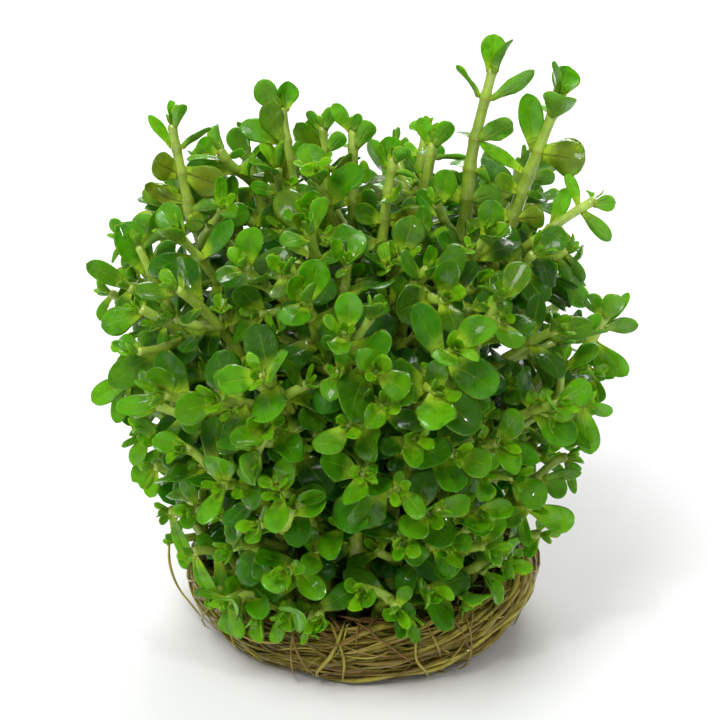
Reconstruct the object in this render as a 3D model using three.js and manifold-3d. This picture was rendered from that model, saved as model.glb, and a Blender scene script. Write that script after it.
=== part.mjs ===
// Indian toothcup (Rotala indica), a marsh and aquarium plant: a clump out of its 5 cm nursery pot.
// A shallow nest of coiled roots carries some sixty branching stems with opposite, fleshy leaves.
// Millimetres, +Z up. The origin is the middle of the flat underside, and the front of the plant faces -Y.
import * as THREE from "three";
import { mergeVertices } from "three/addons/utils/BufferGeometryUtils.js";
import Module from "manifold-3d";

const wasm = await Module();
wasm.setup();

// Driving dimensions

const ROOTS = {
  baseRadius: 19.5, // flat underside, as wide as the pot's floor
  rimRadius: 24.3, // the widest turn of the coiled roots
  rimHeight: 8.6,
  bedRadius: 17.5, // the sunken bed inside the rim, where the stems stand
  bedHeight: 5,
  footReach: 15.8, // the stems' feet keep inside this radius
  footGap: 3.3, // least distance from one foot's middle to the next
  edgeSlope: 56, // a tip seen at this many degrees off the axis has its foot at the bed's edge
};
const STEM = {
  foot: 0.78, // half the thickness of the four-sided stem where it stands
  tip: 0.38,
  side: 0.52, // half the thickness of a side shoot where it leaves its stem
  taperOver: 34, // the stem thins over this length below its tip
  footSlope: 0.25, // outward lean of a stem where it leaves the roots, as run over rise
  axilSlope: 0.75, // rise over run of a side shoot where it leaves its stem
  bend: 0.36, // how long a stem keeps its first and last directions, as shares of its reach
  sideBend: 0.33,
};
const LEAF = {
  length: [3.8, 5.8, 7.2, 7.7, 7.7], // by age: the bud's pair first
  slimness: 0.8, // width over length
  incline: [30, 48, 58, 66, 72], // degrees away from the stem's tip
  curl: [-0.2, 0.2, 0.4, 0.5, 0.55], // radians that the blade bends back over its length
};
const PAIR_AT = [0.5, 1.5, 5.2, 9.8, 15]; // middles of the leaf pairs' joints, measured down from the tip
const JOINT = 1.0; // height of the swollen joint that carries a pair
const FORK = 1.2; // height of the opening that a side shoot grows from
const GAP = 0.3; // air left between a shoot and its neighbours
const SLEEVE = GAP / 2; // each piece is tested with half the gap around it

// How far the foliage reaches from the axis at each height
const OUTLINE = [
  [0, 19.5],
  [10, 24.7],
  [20, 27.5],
  [30, 31],
  [40, 34],
  [50, 34.5],
  [58, 31],
  [66, 24],
  [74, 17],
  [82, 8],
];

// Shoots that the front view shows, each as the places of its tips: [bearing, height, reach].
// Bearing is in degrees round the axis from +X, so 270 is the front; the first tip is the stem's own
// and the others are side shoots, which may give a lean of their own as a fourth number.
// "pairs" counts the stem's leaf pairs, "stretch" spaces them out, "lean" is the tip's own slant, and
// "spin" turns the stem about itself, to set which way its pairs face.
const FRONT = [
  { tips: [[12, 77, 19], [334, 57, 18, 38]], stretch: 1.6, lean: 14, pairs: 4, spin: 20 },
  { tips: [[4, 73.5, 26], [356, 59.5, 30, 62]], stretch: 1.6, lean: 20, pairs: 4, spin: 35 },
  { tips: [[170, 68.5, 22.5], [194, 56, 23]], stretch: 1.3, lean: 8, pairs: 4, spin: 10 },
  { tips: [[138, 62.5, 20], [156, 63, 19.5, 28]], stretch: 1.3, lean: 20, pairs: 4 },
  { tips: [[135, 68.5, 14], [160, 62, 11, 10]], lean: 12, pairs: 4, spin: 45 },
  { tips: [[109, 64.5, 14], [182, 62, 5, 12]], lean: 6, pairs: 4, spin: 30 },
  { tips: [[95, 66, 7], [229, 59, 9, 25]], lean: 4, pairs: 4 },
  { tips: [[23, 64, 5], [300, 55, 11.5, 45]], stretch: 1.2, lean: 12, pairs: 4, spin: 0 },
  { tips: [[45, 64, 14], [330, 55, 10, 35]], stretch: 1.2, lean: 14, pairs: 4, spin: 45 },
  { tips: [[173, 51.5, 28.5], [180, 47, 29.5, 60]], lean: 20, pairs: 3 },
  { tips: [[246, 60, 15], [244, 56, 20], [229, 56, 21]], pairs: 4 },
  { tips: [[195, 47, 28.5], [203, 43, 30, 75]], pairs: 3 },
  { tips: [[213, 52.5, 26.5], [190, 37, 30]], pairs: 3 },
  { tips: [[255, 55, 24.5], [265, 56, 15, 35]], pairs: 4 },
  { tips: [[249, 47.5, 32], [238, 43, 31.5]], pairs: 2 },
  { tips: [[267, 53, 30], [274, 49, 32]], pairs: 3 },
  { tips: [[250, 41, 32], [247, 37, 31.5]] },
  { tips: [[221, 41, 31.5], [205, 33, 29.5]], pairs: 3 },
  { tips: [[302, 55, 16.5], [299, 53, 22], [317, 52.5, 20]], pairs: 4 },
  { tips: [[310, 54, 27], [330, 47, 28.5]], lean: 32, pairs: 3 },
  { tips: [[291, 51, 32], [287, 46, 32.5]] },
  { tips: [[276, 45, 32.5], [268, 42, 32]] },
  { tips: [[282, 40, 32], [292, 37, 31.5]] },
  { tips: [[303, 37, 31.5], [310, 31, 30]] },
  { tips: [[319, 40, 32.5], [334, 37, 31.5]], pairs: 3 },
  { tips: [[347, 43, 28], [340, 34, 30]], lean: 30, pairs: 3 },
  { tips: [[357, 44, 32], [352, 37, 30.5]], lean: 20, pairs: 3 },
  { tips: [[4, 51.5, 27], [345, 54, 23, 40]], pairs: 4 },
  { tips: [[237, 31, 30.5], [224, 25, 28.5], [228, 35, 31.5]] },
  { tips: [[252, 31.5, 30.5], [235, 21, 27.5], [245, 26, 29]] },
  { tips: [[251, 19, 26.6], [259, 12.5, 25.6]] },
  { tips: [[217, 17, 26.5], [230, 12, 25.8], [198, 19, 26]] },
  { tips: [[271, 35.5, 31.6], [279, 33, 31.2]] },
  { tips: [[287, 28.5, 29.6], [281, 24.5, 28.6]] },
  { tips: [[293, 22.5, 27.6], [290, 16, 26.2]] },
  { tips: [[301, 27, 29], [314, 17, 26.6], [306, 21, 27.6]] },
  { tips: [[322, 24, 28], [338, 28, 29], [331, 18, 27]] },
  { tips: [[281, 14, 25.9], [271, 17, 26.4], [297, 14, 25.9]] },
  { tips: [[187, 28, 28], [178, 38, 30], [200, 26, 28]] },
];

// The back of the clump, which the front view doesn't show: rows of shoots with two side shoots each.
// A side shoot ends below its stem's tip by "sideDrop" and to one side of it by "sideTurn" degrees.
const BACK_ROWS = [
  { height: 61, count: 4, reach: 0.8 },
  { height: 49, count: 4, reach: 0.95 },
  { height: 34, count: 4, reach: 0.95 },
  { height: 19, count: 4, reach: 0.97 },
];
const BACK = { from: 10, to: 172, sideTurn: 15, sideDrop: [10, 5], lowest: 11 };
const BACK_LOOSE = { bearing: 5, height: 3.5, sideHeight: 2, sideTurn: 3 }; // how unevenly they stand

const DEGREE = Math.PI / 180;
const UP = new THREE.Vector3(0, 0, 1);

// Numbers from 0 to 1 that look random but are the same each time for the same keys
const KEY_WEIGHTS = [12.9898, 78.233, 37.719, 9.151, 53.771];
function chance(...keys) {
  const mixed = keys.reduce((sum, key, i) => sum + key * KEY_WEIGHTS[i], 0.5);
  const value = Math.sin(mixed) * 43758.5453;
  return value - Math.floor(value);
}
const vary = (amount, ...keys) => amount * (2 * chance(...keys) - 1);

// A value read off a list of [position, value] corners
function along(list, at) {
  for (let i = 1; i < list.length; i++) {
    const [a, va] = list[i - 1];
    const [b, vb] = list[i];
    if (at <= b) return va + (vb - va) * Math.max(0, (at - a) / (b - a));
  }
  return list[list.length - 1][1];
}

// Low shoots stick out sideways and high ones stand up
const LEAN_AT = [
  [10, 96],
  [20, 84],
  [30, 76],
  [40, 68],
  [50, 56],
  [60, 30],
  [75, 14],
];

const outward = (bearing) =>
  new THREE.Vector3(Math.cos(bearing * DEGREE), Math.sin(bearing * DEGREE), 0);

function tipOf([bearing, height, reach, lean]) {
  const out = outward(bearing);
  const slant = (lean ?? along(LEAN_AT, height)) * DEGREE;
  return {
    bearing,
    reach,
    at: out.clone().multiplyScalar(reach).addScaledVector(UP, height),
    points: out.multiplyScalar(Math.sin(slant)).addScaledVector(UP, Math.cos(slant)),
  };
}

const TALL_SHOOT = 62; // shoots of the front list that end above this height stand out of the clump
const LOW_SHOOT = 34; // side shoots below this height carry one pair
const sideTip = (place, pairs) => ({ ...tipOf(place), pairs, stretch: 1, bud: false });

// Every shoot as one record: its own tip first, then its side shoots' tips
function allShoots() {
  const shoots = FRONT.map(({ tips, lean, spin, stretch = 1, pairs = 2 }) => ({
    tip: tipOf([...tips[0], lean]),
    sides: tips.slice(1).map((side) => sideTip(side, side[1] > LOW_SHOOT ? 2 : 1)),
    stretch,
    pairs,
    spin,
    bud: pairs > 3,
    kind: tips[0][1] > TALL_SHOOT ? "tall_shoot" : "front_shoot",
  }));
  BACK_ROWS.forEach(({ height, count, reach }, row) => {
    for (let i = 0; i < count; i++) {
      const share = (i + 0.25 + 0.5 * (row % 2)) / count;
      const spread = (BACK.to - BACK.from) * share;
      const bearing = BACK.from + spread + vary(BACK_LOOSE.bearing, row, i, 1);
      const top = height + vary(BACK_LOOSE.height, row, i, 2);
      shoots.push({
        tip: tipOf([bearing, top, along(OUTLINE, top) * reach]),
        sides: BACK.sideDrop.map((drop, k) => {
          const h = Math.max(BACK.lowest, top - drop + vary(BACK_LOOSE.sideHeight, row, i, 3 + k));
          const aside = BACK.sideTurn * (2 * k - 1) + vary(BACK_LOOSE.sideTurn, row, i, 5 + k);
          return sideTip([bearing + aside, h, along(OUTLINE, h) * reach], 2 - k);
        }),
        stretch: 1.1,
        pairs: 2,
        bud: false,
        kind: "back_shoot",
      });
    }
  });
  return shoots;
}

const PUSH_ROUNDS = 400;
const PUSH = 0.25; // share of a missing distance that each of two feet gives way by

// The feet fan out in the order of their tips' slopes, and are pushed apart until none touch
function placeFeet(shoots) {
  const feet = shoots.map(({ tip }) => {
    const slope = Math.atan2(tip.reach, tip.at.z) / DEGREE;
    return outward(tip.bearing).multiplyScalar(ROOTS.footReach * Math.min(1, slope / ROOTS.edgeSlope));
  });
  const apart = new THREE.Vector3();
  for (let round = 0; round < PUSH_ROUNDS; round++) {
    for (let i = 0; i < feet.length; i++) {
      for (let j = 0; j < i; j++) {
        apart.subVectors(feet[i], feet[j]);
        const short = ROOTS.footGap - apart.length();
        if (short <= 0) continue;
        apart.setLength(short * PUSH);
        feet[i].add(apart);
        feet[j].sub(apart);
      }
    }
    feet.forEach((foot) => foot.clampLength(0, ROOTS.footReach));
  }
  feet.forEach((foot) => foot.setZ(ROOTS.bedHeight + GAP));
  return feet;
}

// A limb is a stem or a side shoot: a smooth curve with evenly measured length

const CURVE_STEPS = 64;
function limbCurve(start, leaves, tip, arrives, softness, aside = new THREE.Vector3()) {
  const reach = start.distanceTo(tip);
  const c1 = start.clone().addScaledVector(leaves, reach * softness).add(aside);
  const c2 = tip.clone().addScaledVector(arrives, -reach * softness).add(aside);
  const curve = new THREE.CubicBezierCurve3(start, c1, c2, tip);
  const points = curve.getPoints(CURVE_STEPS);
  const lengths = [0];
  for (let i = 1; i <= CURVE_STEPS; i++) {
    lengths.push(lengths[i - 1] + points[i].distanceTo(points[i - 1]));
  }
  const total = lengths[CURVE_STEPS];
  const step = (s) => {
    let i = 1;
    while (i < CURVE_STEPS && lengths[i] < s) i++;
    return [i, (s - lengths[i - 1]) / (lengths[i] - lengths[i - 1])];
  };
  return {
    total,
    pointAt(s) {
      const [i, share] = step(s);
      return points[i - 1].clone().lerp(points[i], share);
    },
    tangentAt(s) {
      const [i, share] = step(s);
      return curve.getTangent((i - 1 + share) / CURVE_STEPS);
    },
  };
}

// Four-cornered cross-sections along a limb, carried along without twisting
function ringsAlong(curve, stations, halfAt, firstU) {
  const u = firstU.clone();
  return stations.map((s) => {
    const tangent = curve.tangentAt(s);
    u.addScaledVector(tangent, -u.dot(tangent)).normalize();
    const v = new THREE.Vector3().crossVectors(tangent, u);
    const centre = curve.pointAt(s);
    const half = halfAt(s);
    return { s, centre, tangent, u: u.clone(), v, half, corners: corners(centre, u, v, half) };
  });
}

const corners = (centre, u, v, half) =>
  [
    [1, 1],
    [-1, 1],
    [-1, -1],
    [1, -1],
  ].map(([a, b]) => centre.clone().addScaledVector(u, a * half).addScaledVector(v, b * half));

// The way that each of a ring's four faces looks
const faceNormal = (ring, face) =>
  [ring.v.clone(), ring.u.clone().negate(), ring.v.clone().negate(), ring.u.clone()][face];

// A growing mesh with shared vertices
class Skin {
  constructor() {
    this.points = [];
    this.triangles = [];
  }
  add(point) {
    this.points.push(point);
    return this.points.length - 1;
  }
  polygon(...ids) {
    for (let i = 2; i < ids.length; i++) this.triangles.push(ids[0], ids[i - 1], ids[i]);
  }
  ring(points) {
    return points.map((p) => this.add(p));
  }
  wall(lower, upper, face) {
    const next = (face + 1) % 4;
    this.polygon(lower[face], lower[next], upper[next], upper[face]);
  }
  geometry() {
    const geometry = new THREE.BufferGeometry().setFromPoints(this.points);
    geometry.setIndex(this.triangles);
    return geometry;
  }
}

// A geometry whose shared vertices are merged, as a solid
function solidOf(geometry) {
  const vertProperties = new Float32Array(geometry.attributes.position.array);
  const triVerts = new Uint32Array(geometry.index.array);
  return new wasm.Manifold(new wasm.Mesh({ numProp: 3, vertProperties, triVerts }));
}

// A closed sleeve through a few four-cornered sections, for testing what touches what
function sleeve(sections) {
  const skin = new Skin();
  const rings = sections.map((points) => skin.ring(points));
  for (let i = 1; i < rings.length; i++) {
    for (let face = 0; face < 4; face++) skin.wall(rings[i - 1], rings[i], face);
  }
  skin.polygon(...rings[0].toReversed());
  skin.polygon(...rings[rings.length - 1]);
  return solidOf(skin.geometry());
}

// Everything that already stands, for keeping new leaves clear of it
const standing = [];
const boxesMeet = (a, b) =>
  [0, 1, 2].every((k) => a.min[k] < b.max[k] && b.min[k] < a.max[k]);
function isFree(solid, box, skip) {
  return standing.every(
    (other) => skip(other) || !boxesMeet(box, other.box) || solid.intersect(other.solid).volume() <= 0,
  );
}
function stand(solid, box, owner, limb) {
  standing.push({ solid, box, owner, limb });
}

// A leaf's blade as an arc that leaves the stem at a slant and bends back, with its width across it

// How far leaves differ in turn, tilt, size and curl. Each try for a free place turns and tilts further,
// and after the first few the leaf also gets smaller.
const LOOSE = { turn: 8, tilt: 7, size: 0.12, curl: 0.15 };
const TRY = { count: 12, turn: 7, tilt: 3, fullSize: 3, shrink: 0.07 };
function leafForm(ring, face, age, keys, attempt, size) {
  const turn = vary(LOOSE.turn + TRY.turn * attempt, ...keys, attempt);
  const out = faceNormal(ring, face).applyAxisAngle(ring.tangent, turn * DEGREE);
  const tilt = LEAF.incline[age] + vary(LOOSE.tilt + TRY.tilt * attempt, ...keys, attempt + 20);
  const shrink = 1 - TRY.shrink * Math.max(0, attempt - TRY.fullSize);
  const length = LEAF.length[age] * size * shrink * (1 + vary(LOOSE.size, ...keys, 40));
  const width = length * LEAF.slimness * (1 + vary(LOOSE.size, ...keys, 41));
  const curl = LEAF.curl[age] + vary(LOOSE.curl, ...keys, 42);
  const points = ring.tangent
    .clone()
    .multiplyScalar(Math.cos(tilt * DEGREE))
    .addScaledVector(out, Math.sin(tilt * DEGREE));
  const left = new THREE.Vector3().crossVectors(out, ring.tangent);
  const above = new THREE.Vector3().crossVectors(left, points);
  const base = ring.centre.clone().addScaledVector(faceNormal(ring, face), ring.half);
  return { base, points, left, above, length, width, curl, blunt: age > 0 };
}
function leafPoint(form, share, side, rise = 0) {
  const bend = form.curl * share;
  const ahead = (form.length * Math.sin(bend)) / form.curl;
  const down = (form.length * (1 - Math.cos(bend))) / form.curl;
  return form.base
    .clone()
    .addScaledVector(form.points, ahead + rise * Math.sin(bend))
    .addScaledVector(form.above, rise * Math.cos(bend) - down)
    .addScaledVector(form.left, (side * form.width) / 2);
}

// Where the blade is broadest and where its rounded end begins, as shares of its length and half width,
// and half its thickness in those places
const NECK = { at: 0.16, side: 0.42, thick: 0.4 };
const BROAD = { at: 0.52, side: 1, thick: 0.2 };
const END = { at: 0.95, side: 0.55, thick: 0.08 };

// A closed sleeve round a blade, for testing what it would touch
function leafSleeve(form) {
  const section = ({ at, side }, low, high) => [
    leafPoint(form, at, side, low),
    leafPoint(form, at, -side, low),
    leafPoint(form, at, -side, high),
    leafPoint(form, at, side, high),
  ];
  const sag = (Math.abs(form.curl) * form.length) / 8;
  const margin = (2 * SLEEVE) / form.width;
  const wider = ({ at, side }) => ({ at, side: side + margin });
  const beyond = { at: 1 + (2 * SLEEVE) / form.length, side: END.side / 2 };
  return sleeve([
    section(NECK, -NECK.thick, NECK.thick),
    section(wider(BROAD), -sag - BROAD.thick - SLEEVE, sag / 2 + BROAD.thick + SLEEVE),
    section(wider(END), -END.thick - SLEEVE, END.thick + SLEEVE),
    section(wider(beyond), -SLEEVE, SLEEVE),
  ]);
}

// Grows a leaf out of one face of a joint, in place of that face. A blade that bends back is broken
// across on top and runs straight below, and a cupped one the other way round, so that it stays thick.
function addLeaf(skin, lower, upper, face, form) {
  const next = (face + 1) % 4;
  const [ll, lr, ur, ul] = [lower[face], lower[next], upper[next], upper[face]];
  const left = skin.add(leafPoint(form, BROAD.at, BROAD.side));
  const right = skin.add(leafPoint(form, BROAD.at, -BROAD.side));
  const ends = form.blunt
    ? [skin.add(leafPoint(form, END.at, END.side)), skin.add(leafPoint(form, END.at, -END.side))]
    : [skin.add(leafPoint(form, 1, 0))];
  const tip = { left: ends[0], right: ends[ends.length - 1] };
  if (form.curl > 0) {
    skin.polygon(ur, ul, left, right);
    skin.polygon(left, ...ends, right);
    skin.polygon(ll, tip.left, left);
    skin.polygon(lr, right, tip.right);
    skin.polygon(ll, lr, ...ends.toReversed());
  } else {
    skin.polygon(ll, lr, right, left);
    skin.polygon(right, ...ends.toReversed(), left);
    skin.polygon(ul, left, tip.left);
    skin.polygon(ur, tip.right, right);
    skin.polygon(ur, ul, ...ends);
  }
  skin.polygon(ul, ll, left);
  skin.polygon(lr, ur, right);
}

// A limb's plan: where its joints, side shoots and plain rings come along its length

const LONGEST_STRAIGHT = 24;
const AXIL_REACH = 4; // a side shoot this near to a leaf pair grows from the pair's axil
const LOWEST_PAIR = 2.2; // no pair sits nearer to a limb's start than this
const FORK_BELOW_TIP = 3;
const TOUCHING = 0.01; // joints this near to each other share a ring
function planLimb(curve, { pairs, stretch, bud }, forks, firstU, halfFoot) {
  const taper = (s) =>
    STEM.tip + (halfFoot - STEM.tip) * Math.min(1, (curve.total - s) / STEM.taperOver);
  const joints = [];
  const youngest = bud ? 0 : 1;
  for (let age = youngest; age < youngest + pairs; age++) {
    const s = curve.total + youngest * JOINT - PAIR_AT[age] * (age > 1 ? stretch : 1);
    if (s > LOWEST_PAIR || age === youngest) joints.push({ s, age, half: JOINT / 2 });
  }
  forks.forEach(({ s, tip, id }) => {
    const fork = { s: Math.min(s, curve.total - FORK_BELOW_TIP), tip, id, half: FORK / 2 };
    const crowds = ({ s: at, half }) => Math.abs(at - fork.s) < half + fork.half - TOUCHING;
    const nearest = joints.toSorted((a, b) => Math.abs(a.s - s) - Math.abs(b.s - s))[0];
    if (Math.abs(nearest.s - s) < AXIL_REACH) fork.s = nearest.s + nearest.half + fork.half;
    while (joints.some(crowds)) fork.s -= FORK / 4;
    joints.push(fork);
  });
  joints.sort((a, b) => a.s - b.s);
  const bare = joints[0].s - joints[0].half;
  const plain = Math.ceil(bare / LONGEST_STRAIGHT);
  const stations = [];
  for (let i = 0; i < plain; i++) stations.push({ s: (bare * i) / plain });
  joints.forEach((joint, i) => {
    stations.push({ s: joint.s - joint.half, joint });
    const end = joint.s + joint.half;
    const above = joints[i + 1];
    if (!above || above.s - above.half > end + TOUCHING) stations.push({ s: end });
  });
  const rings = ringsAlong(curve, stations.map(({ s }) => s), taper, firstU);
  return { rings, stations };
}

// The best place for a side shoot to leave its stem: where it would stand off at an easy slant
const FORK_FIT = { from: 0.22, to: 0.9, step: 0.04, slant: 40, shortest: 6, longest: 16 };
function forkPlace(curve, tip) {
  let best = { error: Infinity };
  for (let share = FORK_FIT.from; share < FORK_FIT.to; share += FORK_FIT.step) {
    const s = curve.total * share;
    const toTip = tip.at.clone().sub(curve.pointAt(s));
    const away = toTip.length();
    const slant = curve.tangentAt(s).angleTo(toTip) / DEGREE;
    const tooShort = Math.max(0, FORK_FIT.shortest - away);
    const tooLong = Math.max(0, away - FORK_FIT.longest);
    const error = Math.abs(slant - FORK_FIT.slant) + 3 * tooShort + tooLong;
    if (error < best.error) best = { error, s };
  }
  return best.s;
}

// Lays a limb out and gives it a closed sleeve for testing what it would touch
function layLimb(curve, habit, forks, firstU, halfFoot, number) {
  const plan = planLimb(curve, habit, forks, firstU, halfFoot);
  const solid = sleeve(plan.rings.map(({ centre, u, v, half }) => corners(centre, u, v, half + SLEEVE)));
  return { plan, solid, box: solid.boundingBox(), number };
}

// A main stem bows aside, further at each try, until it passes clear of the stems that already stand
const STEM_TRIES = 120;
const BOW_STEP = 0.9;
const SHOOT_SIZE = { middle: 0.95, spread: 0.1 }; // some shoots have larger leaves than others
function growStem(shoot, id, foot) {
  const { tip, sides } = shoot;
  const spin = shoot.spin ?? chance(id, 3) * 90;
  for (let attempt = 0; attempt < STEM_TRIES; attempt++) {
    const bow = BOW_STEP * Math.sqrt(attempt);
    const aside = outward(tip.bearing + 90).multiplyScalar(vary(bow, id, attempt, 11));
    aside.addScaledVector(outward(tip.bearing), vary(bow, id, attempt, 12));
    const rise = UP.clone().addScaledVector(outward(tip.bearing), STEM.footSlope).normalize();
    const curve = limbCurve(foot, rise, tip.at, tip.points, STEM.bend, aside);
    const forks = sides.map((side, k) => ({ s: forkPlace(curve, side), tip: side, id: k + 1 }));
    const main = layLimb(curve, shoot, forks, outward(spin), STEM.foot, 0);
    if (attempt < STEM_TRIES - 1 && !isFree(main.solid, main.box, () => false)) continue;
    stand(main.solid, main.box, id, 0);
    const size = SHOOT_SIZE.middle + vary(SHOOT_SIZE.spread, id, 7);
    return { skin: new Skin(), id, size, main, limbs: [main] };
  }
}

// Side shoots leave their stem on the face nearest to their tip, or fall short of it to stay clear of others
const FORK_TRIES = 8;
const FALL_SHORT = 0.09; // share of its length that a side shoot gives up at every second try
function growSides(grown) {
  const { main, id, limbs } = grown;
  main.plan.stations.forEach(({ joint }, i) => {
    if (!joint?.tip) return;
    const ring = main.plan.rings[i];
    const toTip = joint.tip.at.clone().sub(ring.centre);
    const order = [0, 1, 2, 3].sort(
      (a, b) => faceNormal(ring, b).dot(toTip) - faceNormal(ring, a).dot(toTip),
    );
    for (let attempt = 0; attempt < FORK_TRIES; attempt++) {
      const face = order[attempt % 2];
      const out = faceNormal(ring, face);
      const middle = ring.centre.clone().addScaledVector(ring.tangent, FORK / 2);
      const start = middle.addScaledVector(out, ring.half);
      const leaves = out.addScaledVector(ring.tangent, STEM.axilSlope).normalize();
      const away = joint.tip.at.clone().sub(start);
      const end = start.clone().addScaledVector(away, 1 - FALL_SHORT * Math.floor(attempt / 2));
      const curve = limbCurve(start, leaves, end, joint.tip.points, STEM.sideBend);
      const limb = layLimb(curve, joint.tip, [], ring.tangent, STEM.side, joint.id);
      if (!isFree(limb.solid, limb.box, (other) => other.owner === id)) continue;
      joint.face = face;
      joint.limb = limb;
      limbs.push(limb);
      stand(limb.solid, limb.box, id, joint.id);
      break;
    }
  });
}

// Joins a shoot's limbs and leaves into one skin
function coverShoot(grown) {
  const { skin, main } = grown;
  function coverLimb(limb, opening) {
    let lower;
    limb.plan.rings.forEach((ring, i) => {
      if (i === 0 && opening) {
        // A side shoot starts from the four corners of the opening in its stem
        const offset = bestTurn(skin, opening, limb.plan.rings[1].corners);
        lower = opening.map((_, k) => opening[(k + offset) % 4]);
        return;
      }
      const upper = skin.ring(ring.corners);
      if (i === 0) skin.polygon(...upper.toReversed());
      else coverSegment(limb, i - 1, lower, upper);
      lower = upper;
    });
    skin.polygon(...lower);
  }
  function coverSegment(limb, i, lower, upper) {
    const joint = limb.plan.stations[i].joint;
    for (let face = 0; face < 4; face++) {
      const leaf = joint?.leaves?.[face];
      if (leaf) addLeaf(skin, lower, upper, face, leaf);
      else if (joint?.limb && joint.face === face) {
        const next = (face + 1) % 4;
        joint.opening = [lower[face], lower[next], upper[next], upper[face]];
      } else skin.wall(lower, upper, face);
    }
  }
  coverLimb(main);
  main.plan.stations.forEach(({ joint }) => {
    if (joint?.limb) coverLimb(joint.limb, joint.opening);
  });
}

// Which corner of an opening each corner of the next ring is joined to, so that the skin doesn't twist
function bestTurn(skin, opening, ring) {
  const spread = (turn) =>
    ring.reduce((sum, p, k) => sum + p.distanceTo(skin.points[opening[(k + turn) % 4]]), 0);
  return [0, 1, 2, 3].sort((a, b) => spread(a) - spread(b))[0];
}

// Gives each joint its pair of leaves, each turned, tilted or shortened until it is clear of the rest
function addLeaves(grown) {
  grown.limbs.forEach((limb) => {
    limb.plan.stations.forEach(({ joint }, i) => {
      if (joint?.age === undefined) return;
      const ring = limb.plan.rings[i];
      const middle = { ...ring, centre: ring.centre.clone().addScaledVector(ring.tangent, JOINT / 2) };
      joint.leaves = [];
      [joint.age % 2, (joint.age % 2) + 2].forEach((face) => {
        for (let attempt = 0; attempt < TRY.count; attempt++) {
          const keys = [grown.id, limb.number, joint.age * 4 + face];
          const form = leafForm(middle, face, joint.age, keys, attempt, grown.size);
          const solid = leafSleeve(form);
          const box = solid.boundingBox();
          const ownStem = (other) => other.owner === grown.id && other.limb === limb.number;
          if (!isFree(solid, box, ownStem)) continue;
          joint.leaves[face] = form;
          stand(solid, box, grown.id, -1);
          break;
        }
      });
    });
  });
}

// The root nest: a ring of coiled roots round a sunken bed. The coils make its wall uneven.

const NEST_SIDES = 22;
const MERGE = 1e-3; // points this near to each other are one
const UNEVEN = 0.45; // how far the coils stand in or out of the wall
function rootNest() {
  const { baseRadius, rimRadius, rimHeight, bedRadius, bedHeight } = ROOTS;
  const profile = [
    [0, 0],
    [baseRadius, 0],
    [baseRadius + 2.9, 2.2],
    [rimRadius - 1, 4.8],
    [rimRadius - UNEVEN, rimHeight - 1.4],
    [rimRadius - 1.6, rimHeight],
    [rimRadius - 4, rimHeight - 0.6],
    [bedRadius, bedHeight],
    [0, bedHeight],
  ].map(([r, z]) => new THREE.Vector2(r, z));
  const turned = new THREE.LatheGeometry(profile, NEST_SIDES);
  turned.rotateX(Math.PI / 2); // the lathe turns about Y
  turned.deleteAttribute("normal");
  turned.deleteAttribute("uv");
  const nest = mergeVertices(turned, MERGE);
  const at = nest.attributes.position;
  for (let i = 0; i < at.count; i++) {
    const [x, y, z] = [at.getX(i), at.getY(i), at.getZ(i)];
    const inWall = z > 1 && z < rimHeight + 0.1 && Math.hypot(x, y) > bedRadius + 1;
    const grow = inWall ? 1 + vary(UNEVEN, i, 61) / rimRadius : 1;
    at.setXYZ(i, x * grow, y * grow, inWall ? z + vary(UNEVEN, i, 62) : z);
  }
  return nest;
}

// Assembly

const finish = (color, roughness) => new THREE.MeshStandardMaterial({ color, roughness, metalness: 0 });
const rootMaterial = finish(0x8f7d45, 0.7);
const FOLIAGE = {
  tall_shoot: finish(0x5f8f2c, 0.4),
  front_shoot: finish(0x57a024, 0.35),
  back_shoot: finish(0x44851f, 0.4),
};

const plant = new THREE.Group();
function addPiece(name, geometry, material) {
  const mesh = new THREE.Mesh(geometry, material);
  mesh.name = name;
  plant.add(mesh);
}

const nest = rootNest();
const nestSolid = solidOf(nest);
stand(nestSolid, nestSolid.boundingBox());
addPiece("root_nest", nest, rootMaterial);

const shoots = allShoots();
const feet = placeFeet(shoots);
const grownShoots = shoots.map((shoot, id) => growStem(shoot, id, feet[id]));
grownShoots.forEach(growSides);
grownShoots.forEach(addLeaves);

const tally = { tall_shoot: 0, front_shoot: 0, back_shoot: 0 };
grownShoots.forEach((grown) => {
  coverShoot(grown);
  const { kind } = shoots[grown.id];
  tally[kind] += 1;
  const name = `${kind}_${String(tally[kind]).padStart(2, "0")}`;
  addPiece(name, grown.skin.geometry(), FOLIAGE[kind]);
});

export default plant;
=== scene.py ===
# Indian toothcup (Rotala indica), a clump lifted out of its 5 cm nursery pot, as the photograph shows it.
# The nest of roots comes first, then the stems that stand in it, their leaves, side twigs and buds.
# Shapes are worked out in millimetres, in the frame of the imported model, and become metres in the meshes.
import math

import bpy
import numpy as np
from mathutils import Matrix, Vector
from numpy.linalg import norm


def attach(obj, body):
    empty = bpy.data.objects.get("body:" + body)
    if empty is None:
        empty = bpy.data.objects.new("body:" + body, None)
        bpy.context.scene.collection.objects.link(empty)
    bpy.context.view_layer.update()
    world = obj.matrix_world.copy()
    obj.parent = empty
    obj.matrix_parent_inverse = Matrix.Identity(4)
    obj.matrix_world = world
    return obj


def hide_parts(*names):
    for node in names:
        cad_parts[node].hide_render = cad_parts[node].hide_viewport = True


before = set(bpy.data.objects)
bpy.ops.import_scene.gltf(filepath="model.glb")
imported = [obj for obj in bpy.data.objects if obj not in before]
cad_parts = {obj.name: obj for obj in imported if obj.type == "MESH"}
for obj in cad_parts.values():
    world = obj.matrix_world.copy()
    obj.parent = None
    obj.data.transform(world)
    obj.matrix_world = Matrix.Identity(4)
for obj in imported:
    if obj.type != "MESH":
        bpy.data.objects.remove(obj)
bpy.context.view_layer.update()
MM = 0.001
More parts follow.
